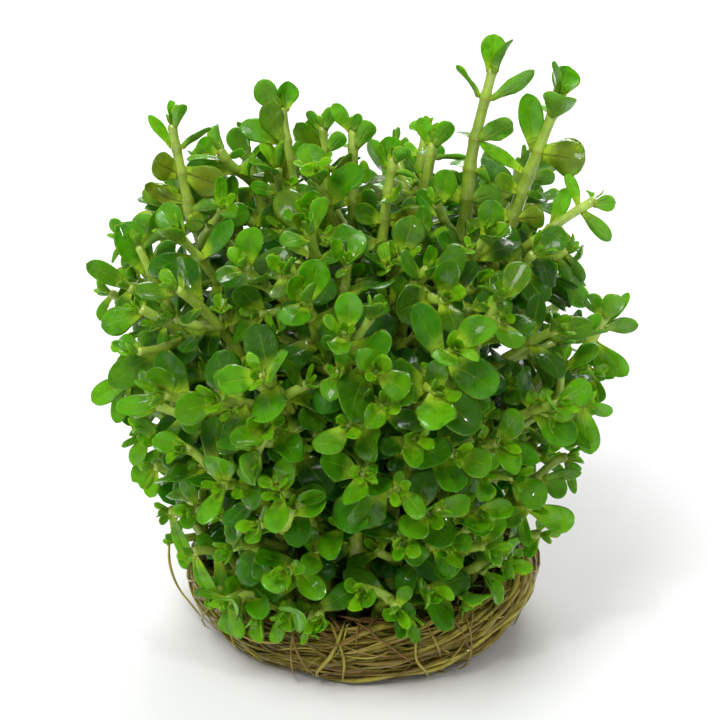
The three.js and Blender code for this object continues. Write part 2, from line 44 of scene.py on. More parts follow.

# Root felt, the inside of the root nest: old, dark roots matted into one shallow bowl, which the pot's floor
# pressed flat, and painted darker still as painted shade for the gaps between the roots that lie over it. It
# is one body, and everything else in the nest is wound round it or lies on it.

# Chance is worked out as in the imported model, so that both grow the same plant
KEY_WEIGHTS = (12.9898, 78.233, 37.719, 9.151, 53.771)
SCATTER = 43758.5453


def chance(*keys):
    """A number from 0 to 1 that looks random but is the same each time for the same keys."""
    mixed = 0.5
    for key, weight in zip(keys, KEY_WEIGHTS):
        mixed += key * weight
    value = math.sin(mixed) * SCATTER
    return value - math.floor(value)


def vary(amount, *keys):
    """A number from minus to plus the amount."""
    return amount * (2 * chance(*keys) - 1)


class Tissue:
    """A growing mesh. Each point carries its place on the real thing in millimetres, and two sets of four
    values for the materials: its trait (tone, youth or brown, underside, olive) and its lay (how far up the
    leaf or stem, how far off the midrib, how near a rim or joint, and a number of the leaf's own)."""

    def __init__(self):
        self.points, self.places, self.traits, self.lays = [], [], [], []
        self.faces, self.finishes = {4: [], 3: []}, {4: [], 3: []}
        self.count = 0

    def add(self, points, place, trait, lay, quads=(), triangles=(), finish=0):
        size = len(points)
        self.points.append(points)
        self.places.append(np.broadcast_to(place, (size, 3)))
        self.traits.append(np.broadcast_to(trait, (size, 4)))
        self.lays.append(np.broadcast_to(lay, (size, 4)))
        for corners, faces in ((4, quads), (3, triangles)):
            faces = np.asarray(faces, int).reshape(-1, corners) + self.count
            self.faces[corners].append(faces)
            self.finishes[corners].append(np.full(len(faces), finish))
        self.count += size

    def piece(self, name, slot, node, materials):
        """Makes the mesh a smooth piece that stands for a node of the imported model."""
        quads, triangles = (np.concatenate(self.faces[corners]) for corners in (4, 3))
        mesh = bpy.data.meshes.new(name)
        mesh.vertices.add(self.count)
        mesh.vertices.foreach_set("co", (np.concatenate(self.points) * MM).astype(np.float32).ravel())
        corners = np.concatenate([quads.ravel(), triangles.ravel()])
        sizes = np.concatenate([np.full(len(quads), 4), np.full(len(triangles), 3)])
        mesh.loops.add(len(corners))
        mesh.loops.foreach_set("vertex_index", corners.astype(np.int32))
        mesh.polygons.add(len(sizes))
        mesh.polygons.foreach_set("loop_start", (np.cumsum(sizes) - sizes).astype(np.int32))
        finishes = np.concatenate(self.finishes[4] + self.finishes[3])
        mesh.polygons.foreach_set("material_index", finishes.astype(np.int32))
        mesh.polygons.foreach_set("use_smooth", np.ones(len(sizes), bool))
        for label, kind, field, values in (
            ("place", "FLOAT_VECTOR", "vector", self.places),
            ("trait", "FLOAT_COLOR", "color", self.traits),
            ("lay", "FLOAT_COLOR", "color", self.lays),
        ):
            layer = mesh.attributes.new(label, kind, "POINT")
            layer.data.foreach_set(field, np.concatenate(values).astype(np.float32).ravel())
        mesh.update(calc_edges=True)
        for material in materials:
            mesh.materials.append(material)
        piece = bpy.data.objects.new(name, mesh)
        bpy.context.scene.collection.objects.link(piece)
        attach(piece, "root")
        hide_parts(node)


def feed(tree, sockets, inputs):
    """Gives each input its plain value, or the output that feeds it."""
    for name, value in inputs.items():
        if isinstance(value, bpy.types.NodeSocket):
            tree.links.new(value, sockets[name])
        else:
            sockets[name].default_value = value


def node(tree, kind, inputs=None, **settings):
    made = tree.nodes.new(kind)
    for name, value in settings.items():
        setattr(made, name, value)
    feed(tree, made.inputs, inputs or {})
    return made


def calc(tree, operation, *values):
    return node(tree, "ShaderNodeMath", dict(enumerate(values)), operation=operation).outputs[0]


def times(tree, first, second):
    return calc(tree, "MULTIPLY", first, second)


def mix(tree, share, first, second):
    """A colour with a share of the second one in it."""
    return node(tree, "ShaderNodeMix", {0: share, 6: first, 7: (*second, 1)}, data_type="RGBA").outputs[2]


def ease(tree, value, low, high, out_low=0.0, out_high=1.0):
    """A smooth step from out_low to out_high as the value goes from low to high."""
    inputs = {"Value": value, "From Min": low, "From Max": high, "To Min": out_low, "To Max": out_high}
    return node(tree, "ShaderNodeMapRange", inputs, interpolation_type="SMOOTHSTEP").outputs[0]


def noise(tree, place, scale, detail=2.0, roughness=0.5):
    inputs = {"Vector": place, "Scale": scale, "Detail": detail, "Roughness": roughness}
    return node(tree, "ShaderNodeTexNoise", inputs).outputs["Fac"]


def ramp(tree, value, *stops):
    made = node(tree, "ShaderNodeValToRGB", {"Fac": value})
    elements = made.color_ramp.elements
    while len(elements) < len(stops):
        elements.new(0.5)
    for element, (at, colour) in zip(elements, stops):
        element.position = at
        element.color = (*colour, 1)
    return made.outputs["Color"]


def attribute(tree, name):
    return node(tree, "ShaderNodeAttribute", attribute_name=name)


def split(tree, colour):
    return node(tree, "ShaderNodeSeparateColor", {"Color": colour}).outputs


def group_with(name, inputs, outputs):
    """An empty shader group with named sockets, and its two end nodes."""
    tree = bpy.data.node_groups.new(name, "ShaderNodeTree")
    for label, kind in inputs:
        tree.interface.new_socket(label, in_out="INPUT", socket_type=f"NodeSocket{kind}")
    for label, kind in outputs:
        tree.interface.new_socket(label, in_out="OUTPUT", socket_type=f"NodeSocket{kind}")
    return tree, tree.nodes.new("NodeGroupInput").outputs, tree.nodes.new("NodeGroupOutput").inputs


def place_group(tree, group, inputs):
    return node(tree, "ShaderNodeGroup", inputs, node_tree=group).outputs


# Growth streaks: fine fibres along a root or a stem, lighter and darker, with the relief that they make
streaks, give, take = group_with(
    "growth_streaks",
    [("Place", "Vector"), ("Across", "Float"), ("Along", "Float")],
    [("Streaks", "Float"), ("Blotches", "Float"), ("Relief", "Float")],
)
stretch = {0: give["Across"], 1: give["Across"], 2: give["Along"]}
stretch = node(streaks, "ShaderNodeCombineXYZ", stretch).outputs[0]
laid = node(streaks, "ShaderNodeVectorMath", {0: give["Place"], 1: stretch}, operation="MULTIPLY")
fine = noise(streaks, laid.outputs[0], 1.0, 3.0, 0.6)
broad = noise(streaks, give["Place"], 0.35, 2.0)
streaks.links.new(ease(streaks, fine, 0.3, 0.7), take["Streaks"])
streaks.links.new(ease(streaks, broad, 0.35, 0.65), take["Blotches"])
streaks.links.new(calc(streaks, "MULTIPLY_ADD", broad, 0.6, fine), take["Relief"])

# Wet film: the plant has just come out of the water, so that a thin film lies on it in patches
wet, give, take = group_with(
    "wet_film",
    [("Place", "Vector"), ("Scale", "Float"), ("Dry", "Float"), ("Wet", "Float")],
    [("Roughness", "Float"), ("Film", "Float")],
)
patches = ease(wet, noise(wet, give["Place"], give["Scale"], 2.0), 0.42, 0.6)
shine = node(wet, "ShaderNodeMapRange", {"Value": patches, "To Min": give["Dry"], "To Max": give["Wet"]})
wet.links.new(shine.outputs[0], take["Roughness"])
wet.links.new(patches, take["Film"])


def material_with(name):
    """An empty material: its tree and its Principled shader."""
    made = bpy.data.materials.new(name)
    made.use_nodes = True
    return made, made.node_tree, made.node_tree.nodes["Principled BSDF"]


WATER = {"Coat Roughness": 0.07, "Coat IOR": 1.33}


def finish_skin(tree, skin, colour, height, depth, film):
    """Gives a surface its colour, a relief this many mm deep, and water that stands on it in patches."""
    surface = node(tree, "ShaderNodeBump", {"Height": height, "Distance": depth * MM}).outputs[0]
    feed(tree, skin.inputs, {
        "Base Color": colour,
        "Roughness": film["Roughness"],
        "Normal": surface,
        "Coat Weight": film["Film"],
        **WATER,
    })


ROOT_DULL = 0.2  # of the usual gloss
BROWN = (0.225, 0.115, 0.036)  # an older root's bark


def root_material(name, dark, tan, pale, wetness):
    """A root's skin: streaks along it, blotches, and brown bark where its trait says so."""
    made, tree, skin = material_with(name)
    place = attribute(tree, "place").outputs["Vector"]
    tone, brown, _ = split(tree, attribute(tree, "trait").outputs["Color"])
    grown = place_group(tree, streaks, {"Place": place, "Across": 5.0, "Along": 0.5})
    colour = ramp(tree, tone, (0.0, dark), (0.55, tan), (1.0, pale))
    colour = mix(tree, times(tree, grown["Streaks"], 0.16), colour, pale)
    colour = mix(tree, times(tree, brown, 0.85), colour, BROWN)
    colour = mix(tree, times(tree, grown["Blotches"], 0.4), colour, dark)
    film = place_group(tree, wet, {"Place": place, "Scale": 0.9, "Dry": 0.6, "Wet": wetness})
    finish_skin(tree, skin, colour, grown["Relief"], 0.03, film)
    skin.inputs["Specular IOR Level"].default_value = ROOT_DULL
    return made


# Painted shade: the felt is darker than old roots are, so that the gaps between the coiled roots over it read
# as shade
OLD_ROOT_AND_SHADE = [(0.010, 0.007, 0.002), (0.038, 0.026, 0.008), (0.09, 0.07, 0.02)]  # dark, tan and pale
felt_material = root_material("root_felt", *OLD_ROOT_AND_SHADE, 0.4)

FELT_PROFILE = [  # radius and height
    (0.0, 0.1),
    (10.0, 0.1),
    (17.4, 0.1),
    (19.2, 1.2),
    (20.5, 2.6),
    (21.3, 4.8),
    (21.8, 6.8),
    (21.2, 7.8),
    (20.0, 7.0),
    (18.4, 5.5),
    (17.0, 4.9),
    (9.0, 4.9),
    (0.0, 4.9),
]
FLAT_BELOW = 0.5  # mm: up to here the floor of the pot kept the felt even
FELT_SIDES = 90
FELT_UNEVEN = 0.4
FELT_TONE = 0.4
NEST_ASIDE = 0.6  # mm by which the root ball bulges to the right of the clump's middle


def sleeve(rings, sides):
    """Faces of a sleeve of rings, and of the two fans that close it round the two points after the rings."""
    ring = np.arange(sides)
    after = (ring + 1) % sides
    wall = np.column_stack([ring, after, after + sides, ring + sides])
    wall = (wall[None] + (np.arange(rings - 1) * sides)[:, None, None]).reshape(-1, 4)
    start, top = rings * sides, (rings - 1) * sides
    fans = np.concatenate([
        np.column_stack([after, ring, np.full(sides, start)]),
        np.column_stack([ring + top, after + top, np.full(sides, start + 1)]),
    ])
    return wall, fans


felt = Tissue()
around = np.arange(FELT_SIDES) * 2 * math.pi / FELT_SIDES
rows = []
for k, (radius, height) in enumerate(FELT_PROFILE[1:-1]):
    loose = 0 if height < FLAT_BELOW else FELT_UNEVEN
    reach = [radius + vary(loose, i, k, 1) for i in range(FELT_SIDES)]
    rise = [height + vary(loose, i, k, 2) for i in range(FELT_SIDES)]
    rows.append(np.column_stack([NEST_ASIDE + reach * np.cos(around), reach * np.sin(around), rise]))
ends = [[0, 0, FELT_PROFILE[0][1]], [0, 0, FELT_PROFILE[-1][1]]]
felt_points = np.concatenate([*rows, ends])
trait = (FELT_TONE, 0, 0, 0)
felt.add(felt_points, felt_points, trait, (0, 0, 0, 0), *sleeve(len(rows), FELT_SIDES))
felt.piece("root_felt", "root", "root_nest", [felt_material])

# Coiled roots, the live roots that circled inside the pot: tan and olive strands, 0.1 to 0.8 mm thick. They
# wander round the felt in loose locks, cross over and under each other in layers, and turn back at the pot's
# floor and over the rim.

LIVE_ROOT = [(0.046, 0.028, 0.002), (0.205, 0.162, 0.012), (0.53, 0.46, 0.075)]  # dark, tan and pale
coil_material = root_material("root_skin", *LIVE_ROOT, 0.25)

NEST_SKIN = [  # radius and height, from the floor's edge up the wall, over the rim and down into the bed
    (18.2, 0.2),
    (20.1, 1.3),
    (21.4, 2.6),
    (22.5, 4.8),
    (23.1, 7.0),
    (22.9, 8.5),
    (21.9, 9.1),
    (20.6, 8.4),
    (19.2, 7.0),
    (17.8, 5.8),
    (14.0, 5.3),
]
RIM_RUN = 11.0  # mm up the skin from the floor's edge to the top of the rim
BED_RUN = 16.5  # and on to the bed
RIM_LIFT = {"height": 1.4, "bearing": -6, "spread": 36}  # the rim stands higher on the right
LOW_CENTRE = 0.06  # air between a strand and the ground, in mm
ROOT_STEP = 1.25  # mm between the rings of a strand
LOWEST_RUN = 0.2  # mm up the skin where a root turns back
DEGREE = math.pi / 180
SKIN = np.array(NEST_SKIN)
SKIN_RUN = np.concatenate([[0], np.cumsum(norm(np.diff(SKIN, axis=0), axis=1))])


def along(corners, at):
    """A value read off a list of (position, value) corners."""
    return np.interp(at, [corner[0] for corner in corners], [corner[1] for corner in corners])


def sized(vector):
    return vector / norm(vector)


def square_to(vector, tangent):
    """The direction nearest to the vector that is square to the tangent."""
    return sized(vector - tangent * vector.dot(tangent))


ANY_SIDE = [0.3, 0.2, 0.9]  # a direction that no root follows, to start its sides from


def carried_frames(path, first=None):
    """Two directions across a path, carried along it without twisting."""
    ahead = np.gradient(path, axis=0)
    ahead /= norm(ahead, axis=1)[:, None]
    side = np.cross(ahead[0], ANY_SIDE) if first is None else np.asarray(first, float)
    sides = np.empty_like(path)
    for i, tangent in enumerate(ahead):
        side = square_to(side, tangent)
        sides[i] = side
    return sides, np.cross(ahead, sides)


def tube(tissue, path, radii, section, trait, lay, seed, first=None):
    """Sweeps a closed cross-section along a path and closes both ends."""
    side, other = carried_frames(path, first)
    turns, sides = len(path), len(section)
    spokes = side[:, None] * section[None, :, :1] + other[:, None] * section[None, :, 1:]
    points = (path[:, None] + spokes * np.asarray(radii)[:, None, None]).reshape(-1, 3)
    run = np.concatenate([[0], np.cumsum(norm(np.diff(path, axis=0), axis=1))])
    place = np.column_stack([np.tile(section, (turns, 1)), np.repeat(run, sides)])
    place[:, :2] *= np.repeat(radii, sides)[:, None]
    place += [0, seed * 37, seed * 211]
    trait = np.repeat(np.broadcast_to(trait, (turns, 4)), sides, axis=0)
    lay = np.repeat(np.broadcast_to(lay, (turns, 4)), sides, axis=0)
    points = np.concatenate([points, path[[0, -1]]])
    place, trait, lay = (np.concatenate([values, values[[0, -1]]]) for values in (place, trait, lay))
    tissue.add(points, place, trait, lay, *sleeve(turns, sides))


def round_section(sides):
    turn = np.arange(sides) * 2 * math.pi / sides
    return np.column_stack([np.cos(turn), np.sin(turn)])


def strand(tissue, path, thick, tone, seed, brown=0.0, sides=5):
    """Lays a root along a path. Its thickness wanders a little, and its ends are fine."""
    share = np.linspace(0, 1, len(path))
    wander = 1 + 0.16 * np.sin(share * (6 + 9 * chance(seed, 71)) + 6 * chance(seed, 72))
    radii = thick / 2 * wander * np.minimum(1, 0.2 + share * 7) * np.minimum(1, 0.15 + (1 - share) * 5)
    path = path.copy()
    path[:, 2] = np.maximum(path[:, 2], radii + LOW_CENTRE)
    tube(tissue, path, radii, round_section(sides), (tone, brown, 0, 0), (0, 0, 0, 0), seed)


ANTICLOCKWISE = 0.62  # of the roots, seen from above


def way_round(seed):
    return 1 if chance(seed, 1) < ANTICLOCKWISE else -1


def on_skin(run):
    """Radius and height of the nest's skin, this far up it."""
    return np.array([np.interp(run, SKIN_RUN, SKIN[:, k]) for k in (0, 1)])


def over_nest(seed, bearing, run, heading, length, out, wander):
    """A root's path over the nest, from a bearing and a run up its skin. Its heading, in degrees up from
    level, wanders, and it turns back at the floor and in the bed. Out is its height over the skin, in mm."""
    way = way_round(seed)
    short, long = 2.2 + 2.6 * chance(seed, 2), 5 + 6 * chance(seed, 4)
    path = []
    for gone in np.arange(0, length, ROOT_STEP):
        radius, height = on_skin(run)
        uphill = on_skin(run + 0.4) - on_skin(run - 0.4)
        steep = math.hypot(*uphill)
        off = out + 0.2 * math.sin(gone / 2.3 + 6.3 * chance(seed, 6))
        turned_by = (bearing - RIM_LIFT["bearing"] + 180) % 360 - 180
        lift = RIM_LIFT["height"] * math.exp(-((turned_by / RIM_LIFT["spread"]) ** 2)) * min(1, run / RIM_RUN)
        lift *= np.interp(run, [RIM_RUN, BED_RUN], [1, 0])
        reach = radius + off * uphill[1] / steep
        rise = height + lift - off * uphill[0] / steep
        spot = bearing * DEGREE
        path.append((NEST_ASIDE + reach * math.cos(spot), reach * math.sin(spot), rise))
        sway = 15 * math.sin(gone / short + 6.3 * chance(seed, 3))
        sway += 19 * math.sin(gone / long + 6.3 * chance(seed, 5))
        slant = heading + wander * sway
        run += ROOT_STEP * math.sin(slant * DEGREE)
        bearing += way * ROOT_STEP * math.cos(slant * DEGREE) / radius / DEGREE
        if run < LOWEST_RUN:
            run, heading = LOWEST_RUN, abs(heading) * 0.4
        if run > SKIN_RUN[-1] - 1:
            run, heading = min(run, SKIN_RUN[-1] - 0.5), -abs(heading)
    return np.array(path)


# Roots grow in loose locks: some run side by side and then part, and later locks lie over earlier ones
WALL_LOCKS = 125
RIM_LOCKS = 52
# At the front right the locks climb to the right, where the rim is higher, and more of the low ones are brown
RIGHT = {"bearing": 318, "climb": 13, "climbs_within": 34, "brown_within": 40, "brown_below": 6}
BROWN_SHARE = {"usual": 0.12, "low_right": 0.5}
ASTRAY = 0.05  # of the locks run at a slant of their own
wall_roots, rim_roots = Tissue(), Tissue()
for i in range(WALL_LOCKS + RIM_LOCKS):
    on_rim = i >= WALL_LOCKS
    layer = (i - WALL_LOCKS) / RIM_LOCKS if on_rim else i / WALL_LOCKS
    bearing = 360 * chance(i, 33)
    run = 9.2 + 5.5 * chance(i, 34) if on_rim else 10.0 * chance(i, 34)
    heading = 12 * math.sin(3 * bearing * DEGREE + run / 3) + vary(20, i, 35)
    aside = abs(bearing - RIGHT["bearing"])
    low_right = not on_rim and run < RIGHT["brown_below"] and aside < RIGHT["brown_within"]
    if aside < RIGHT["climbs_within"]:
        heading = RIGHT["climb"] * way_round(i * 7 + 0.5) + vary(9, i, 35)
    if chance(i, 36) < ASTRAY:
        heading = vary(60, i, 37)
    # Painted shade: the locks that lie underneath are painted darker, for the shade between the strands; on
    # top of that the tone varies at random
    tone = 0.15 + 0.52 * layer + vary(0.24, i, 38)
    members = 2 + int(3.8 * chance(i, 31))
    for k in range(members):
        seed = i * 7 + k + 0.5
        thick = 0.38 + 0.40 * chance(seed, 21) ** 1.5
        path = over_nest(
            seed if k == 0 else i * 7 + 0.5 + 0.02 * k,
            bearing + vary(5, seed, 23),
            max(LOWEST_RUN, run + 0.5 * (k - members / 2) + vary(0.25, seed, 24)),
            heading + vary(7, seed, 25),
            length=(10 + 22 * chance(i, 32)) * (0.7 + 0.5 * chance(seed, 26)),
            out=-0.85 + 0.85 * layer + 0.35 * chance(seed, 22) - 0.3 * thick,
            wander=0.72,
        )
        brown_share = BROWN_SHARE["low_right" if low_right and layer > 0.5 else "usual"]
        brown = 0.75 * (chance(seed, 27) < brown_share)
        strand(rim_roots if on_rim else wall_roots, path, thick, tone + vary(0.2, seed, 28), seed, brown)

# On the right the rim is a thick rope of long roots that run side by side and climb to the right
ROPE_ROOTS = 46
for i in range(ROPE_ROOTS):
    seed = 1500.5 + i
    path = over_nest(
        seed,
        320 + vary(38, seed, 23),
        5.6 + 7.6 * (i / ROPE_ROOTS) + vary(0.5, seed, 24),
        RIGHT["climb"] * way_round(seed) + vary(5, seed, 25),
        length=12 + 12 * chance(seed, 26),
        out=0.05 + 0.45 * chance(seed, 22),
        wander=0.34,
    )
    brown = 0.4 * (chance(seed, 27) < BROWN_SHARE["usual"])
    strand(rim_roots, path, 0.46 + 0.34 * chance(seed, 21), 0.70 + vary(0.26, seed, 28), seed, brown)

# Single roots stray across the locks, and hair-fine ones over everything
STRAY_ROOTS = 40
HAIRS = 60
for i in range(STRAY_ROOTS + HAIRS):
    seed = 2000.5 + i
    hair = i >= STRAY_ROOTS
    path = over_nest(
        seed,
        360 * chance(seed, 23),
        0.4 + 14 * chance(seed, 24),
        vary(80 if hair else 45, seed, 25),
        length=(5 if hair else 8) + (12 if hair else 16) * chance(seed, 26),
        out=0.2 + 0.3 * chance(seed, 22),
        wander=1.5,
    )
    thick = 0.11 + 0.05 * chance(seed, 21) if hair else 0.2 + 0.22 * chance(seed, 21)
    tone = 0.55 + vary(0.4, seed, 28)
    strand(rim_roots, path, thick, tone, seed, 0.6 * (chance(seed, 27) < 0.35), 4 if hair else 5)
wall_roots.piece("wall_roots", "root", "root_nest", [coil_material])
rim_roots.piece("rim_roots", "root", "root_nest", [coil_material])

# Inside the rim the roots cross in every direction, under the stems and on the pot's floor
BED_ROOTS = {"count": 150, "reach": 20.0, "most": 21.5}
FLOOR_ROOTS = {"count": 75, "reach": 17.8, "most": 18.3}
BED_PROFILE = [(0, 5.2), (16.5, 5.5), (21.5, 8.6)]
bed_roots = Tissue()
for i in range(BED_ROOTS["count"] + FLOOR_ROOTS["count"]):
    seed = 600.5 + i
    on_floor = i >= BED_ROOTS["count"]
    kept = FLOOR_ROOTS if on_floor else BED_ROOTS
    reach = kept["reach"] * chance(seed, 22) ** 0.5
    length = 10 + 16 * chance(seed, 25)
    share = np.linspace(-0.5, 0.5, int(length / ROOT_STEP))
    spot, way = 360 * chance(seed, 23) * DEGREE, 360 * chance(seed, 24) * DEGREE
    ahead = length * share
    aside = 2.2 * np.sin(share * 7 + 6 * chance(seed, 29)) + 7 * (share**2) * vary(1, seed, 30)
    x = reach * math.cos(spot) + ahead * math.cos(way) - aside * math.sin(way)
    y = reach * math.sin(spot) + ahead * math.sin(way) + aside * math.cos(way)
    gone_out = np.hypot(x, y)
    held = np.minimum(gone_out, kept["most"]) / np.maximum(gone_out, 0.1)
    x, y = NEST_ASIDE + x * held, y * held
    rise = 0 * x
    if not on_floor:
        rise = along(BED_PROFILE, gone_out) + 0.9 * chance(seed, 28) + 0.35 * np.sin(share * 9)
    thick, tone = 0.26 + 0.35 * chance(seed, 21), 0.1 + 0.5 * chance(seed, 27)
    strand(bed_roots, np.column_stack([x, y, rise]), thick, tone, seed)
bed_roots.piece("bed_roots", "root", "root_nest", [coil_material])

# Loose roots, young side roots that came away from the nest when it left the pot: some spread over the front
# rim, brown and wiry, and a few pale ones hang down the wall. They grow out of the nest and lie on it.

LOOSE_ROOTS = [  # bearing, run up the skin, heading, length, thickness, tone, brown, wander
    (289, 15, -84, 21, 0.40, 0.9, 0.15, 0.8),
    (288, 14.5, -72, 9, 0.26, 0.8, 0.4, 1.3),
    (303, 14, -66, 13, 0.26, 0.7, 0.5, 1.5),
    (312, 12.5, -60, 11, 0.26, 0.7, 0.4, 1.3),
    (324, 12, -50, 9, 0.28, 0.7, 0.3, 1.2),
    (264, 11.5, -78, 12, 0.50, 0.85, 0, 1.4),
    (257, 12, -60, 12, 0.36, 0.75, 0, 1.0),
    (250, 12.5, -78, 12, 0.28, 0.7, 0.7, 0.9),
    (246, 12.5, -88, 11, 0.24, 0.7, 0.8, 0.8),
    (236, 13, -64, 12, 0.26, 0.85, 0.1, 1.0),
    (221, 13, -80, 13, 0.26, 0.8, 0.3, 1.0),
    (258, 11.5, -6, 13, 0.40, 0.45, 1, 1.7),
    (261, 12.5, -14, 12, 0.44, 0.4, 1, 1.9),
    (264, 10.5, 10, 12, 0.36, 0.5, 1, 1.9),
    (267, 11.8, -20, 10, 0.34, 0.4, 1, 2.0),
    (270, 12.6, -10, 13, 0.40, 0.5, 1, 1.7),
    (273, 11.0, 16, 11, 0.34, 0.55, 0.9, 1.9),
    (277, 12.4, -26, 10, 0.32, 0.5, 0.9, 1.8),
    (268, 9.6, 22, 10, 0.30, 0.6, 0.8, 2.0),
    (280, 11.6, 4, 9, 0.30, 0.45, 1, 1.9),
]
LOOSE_LIFT = 0.75  # mm that they lie over the coiled roots
LEFT_LOOP = [  # one root bows out from the left wall, from its top to its foot
    (-23.4, 1.5, 15.0),
    (-25.2, 0.5, 11.5),
    (-25.5, -0.5, 7.5),
    (-24.3, -1.5, 4.2),
    (-22.4, -2.5, 2.2),
    (-20.6, -5, 1.2),
]
LOOP_RINGS = 26
LOOP_ROUNDED = 6  # times over, to take the corners out of it

loose_roots = Tissue()
for i, (bearing, run, heading, length, thick, tone, brown, wander) in enumerate(LOOSE_ROOTS):
    seed = 3000.5 + i
    path = over_nest(seed, bearing, run, heading, length, LOOSE_LIFT + 0.5 * brown, wander)
    waves = np.arange(len(path)) / 1.7
    path += np.column_stack([vary(0.5, seed, k) * np.sin(waves + k) for k in (41, 42, 43)])
    strand(loose_roots, path, thick, tone, seed, brown, 6)
loop_at = np.linspace(0, len(LEFT_LOOP) - 1, LOOP_RINGS)
loop_path = np.column_stack([np.interp(loop_at, range(len(LEFT_LOOP)), line) for line in zip(*LEFT_LOOP)])
for _ in range(LOOP_ROUNDED):
    loop_path[1:-1] = (loop_path[:-2] + loop_path[2:] + 2 * loop_path[1:-1]) / 4
strand(loose_roots, loop_path, 0.34, 0.85, 7.5, 0.1, 6)
loose_roots.piece("loose_roots", "root", "root_nest", [coil_material])

# Stems. Each plantlet is one soft, pale-green, four-angled stem that stands in the nest and branches near
# its top. Every pair of leaves sits on a slightly swollen joint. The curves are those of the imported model.

STEM = {  # half its width at the foot, at the tip and at the start of a side shoot, in mm; slopes; and bends
    "foot": 0.78,
    "tip": 0.38,
    "side": 0.52,
    "taper_over": 34,
    "foot_slope": 0.25,
    "axil_slope": 0.75,
    "bend": 0.36,
    "side_bend": 0.33,
}
PAIR_AT = [0.5, 1.5, 5.2, 9.8, 15]  # mm below the tip, for the pairs of leaves from the youngest down
JOINT = 1.0  # mm of stem that a pair of leaves takes
FORK = 1.2  # and that a side shoot takes
GAP = 0.3  # mm between a stem's foot and the bed of the nest

OUTLINE = [  # height, and how far out the clump reaches there
    (0, 19.5),
    (10, 24.7),
    (20, 27.5),
    (30, 31),
    (40, 34),
    (50, 34.5),
    (58, 31),
    (66, 24),
    (74, 17),
    (82, 8),
]

# Shoots that the front view shows: the places of their tips, then their habits. A place is bearing, height,
# reach and, where it has one, a lean of its own, in degrees and millimetres.
FRONT = [
    ([(12, 77, 19), (334, 57, 18, 38)], dict(stretch=1.6, lean=14, pairs=4, spin=20)),
    ([(4, 73.5, 26), (356, 59.5, 30, 62)], dict(stretch=1.6, lean=20, pairs=4, spin=35)),
    ([(170, 68.5, 22.5), (194, 56, 23)], dict(stretch=1.3, lean=8, pairs=4, spin=10)),
    ([(138, 62.5, 20), (156, 63, 19.5, 28)], dict(stretch=1.3, lean=20, pairs=4)),
    ([(135, 68.5, 14), (160, 62, 11, 10)], dict(lean=12, pairs=4, spin=45)),
    ([(109, 64.5, 14), (182, 62, 5, 12)], dict(lean=6, pairs=4, spin=30)),
    ([(95, 66, 7), (229, 59, 9, 25)], dict(lean=4, pairs=4)),
    ([(23, 64, 5), (300, 55, 11.5, 45)], dict(stretch=1.2, lean=12, pairs=4, spin=0)),
    ([(45, 64, 14), (330, 55, 10, 35)], dict(stretch=1.2, lean=14, pairs=4, spin=45)),
    ([(173, 51.5, 28.5), (180, 47, 29.5, 60)], dict(lean=20, pairs=3)),
    ([(246, 60, 15), (244, 56, 20), (229, 56, 21)], dict(pairs=4)),
    ([(195, 47, 28.5), (203, 43, 30, 75)], dict(pairs=3)),
    ([(213, 52.5, 26.5), (190, 37, 30)], dict(pairs=3)),
    ([(255, 55, 24.5), (265, 56, 15, 35)], dict(pairs=4)),
    ([(249, 47.5, 32), (238, 43, 31.5)], dict(pairs=2)),
    ([(267, 53, 30), (274, 49, 32)], dict(pairs=3)),
    ([(250, 41, 32), (247, 37, 31.5)], {}),
    ([(221, 41, 31.5), (205, 33, 29.5)], dict(pairs=3)),
    ([(302, 55, 16.5), (299, 53, 22), (317, 52.5, 20)], dict(pairs=4)),
    ([(310, 54, 27), (330, 47, 28.5)], dict(lean=32, pairs=3)),
    ([(291, 51, 32), (287, 46, 32.5)], {}),
    ([(276, 45, 32.5), (268, 42, 32)], {}),
    ([(282, 40, 32), (292, 37, 31.5)], {}),
    ([(303, 37, 31.5), (310, 31, 30)], {}),
    ([(319, 40, 32.5), (334, 37, 31.5)], dict(pairs=3)),
    ([(347, 43, 28), (340, 34, 30)], dict(lean=30, pairs=3)),
    ([(357, 44, 32), (352, 37, 30.5)], dict(lean=20, pairs=3)),
    ([(4, 51.5, 27), (345, 54, 23, 40)], dict(pairs=4)),
    ([(237, 31, 30.5), (224, 25, 28.5), (228, 35, 31.5)], {}),
    ([(252, 31.5, 30.5), (235, 21, 27.5), (245, 26, 29)], {}),
    ([(251, 19, 26.6), (259, 12.5, 25.6)], {}),
    ([(217, 17, 26.5), (230, 12, 25.8), (198, 19, 26)], {}),
    ([(271, 35.5, 31.6), (279, 33, 31.2)], {}),
    ([(287, 28.5, 29.6), (281, 24.5, 28.6)], {}),
    ([(293, 22.5, 27.6), (290, 16, 26.2)], {}),
    ([(301, 27, 29), (314, 17, 26.6), (306, 21, 27.6)], {}),
    ([(322, 24, 28), (338, 28, 29), (331, 18, 27)], {}),
    ([(281, 14, 25.9), (271, 17, 26.4), (297, 14, 25.9)], {}),
    ([(187, 28, 28), (178, 38, 30), (200, 26, 28)], {}),
]
BACK_ROWS = [(61, 4, 0.8), (49, 4, 0.95), (34, 4, 0.95), (19, 4, 0.97)]  # height, count, share of the outline
BACK = {"from": 10, "to": 172, "side_turn": 15, "side_drop": (10, 5), "lowest": 11}
BACK_LOOSE = {"bearing": 5, "height": 3.5, "side_height": 2, "side_turn": 3}
LEAN_AT = [(10, 96), (20, 84), (30, 76), (40, 68), (50, 56), (60, 30), (75, 14)]  # height, degrees
TALL_SHOOT = 62  # mm: the shoots that end higher than this make the skyline
LOW_SHOOT = 34  # mm: the side shoots that end lower than this have one pair of leaves
UP = np.array([0.0, 0.0, 1.0])


def outward(bearing):
    return np.array([math.cos(bearing * DEGREE), math.sin(bearing * DEGREE), 0.0])


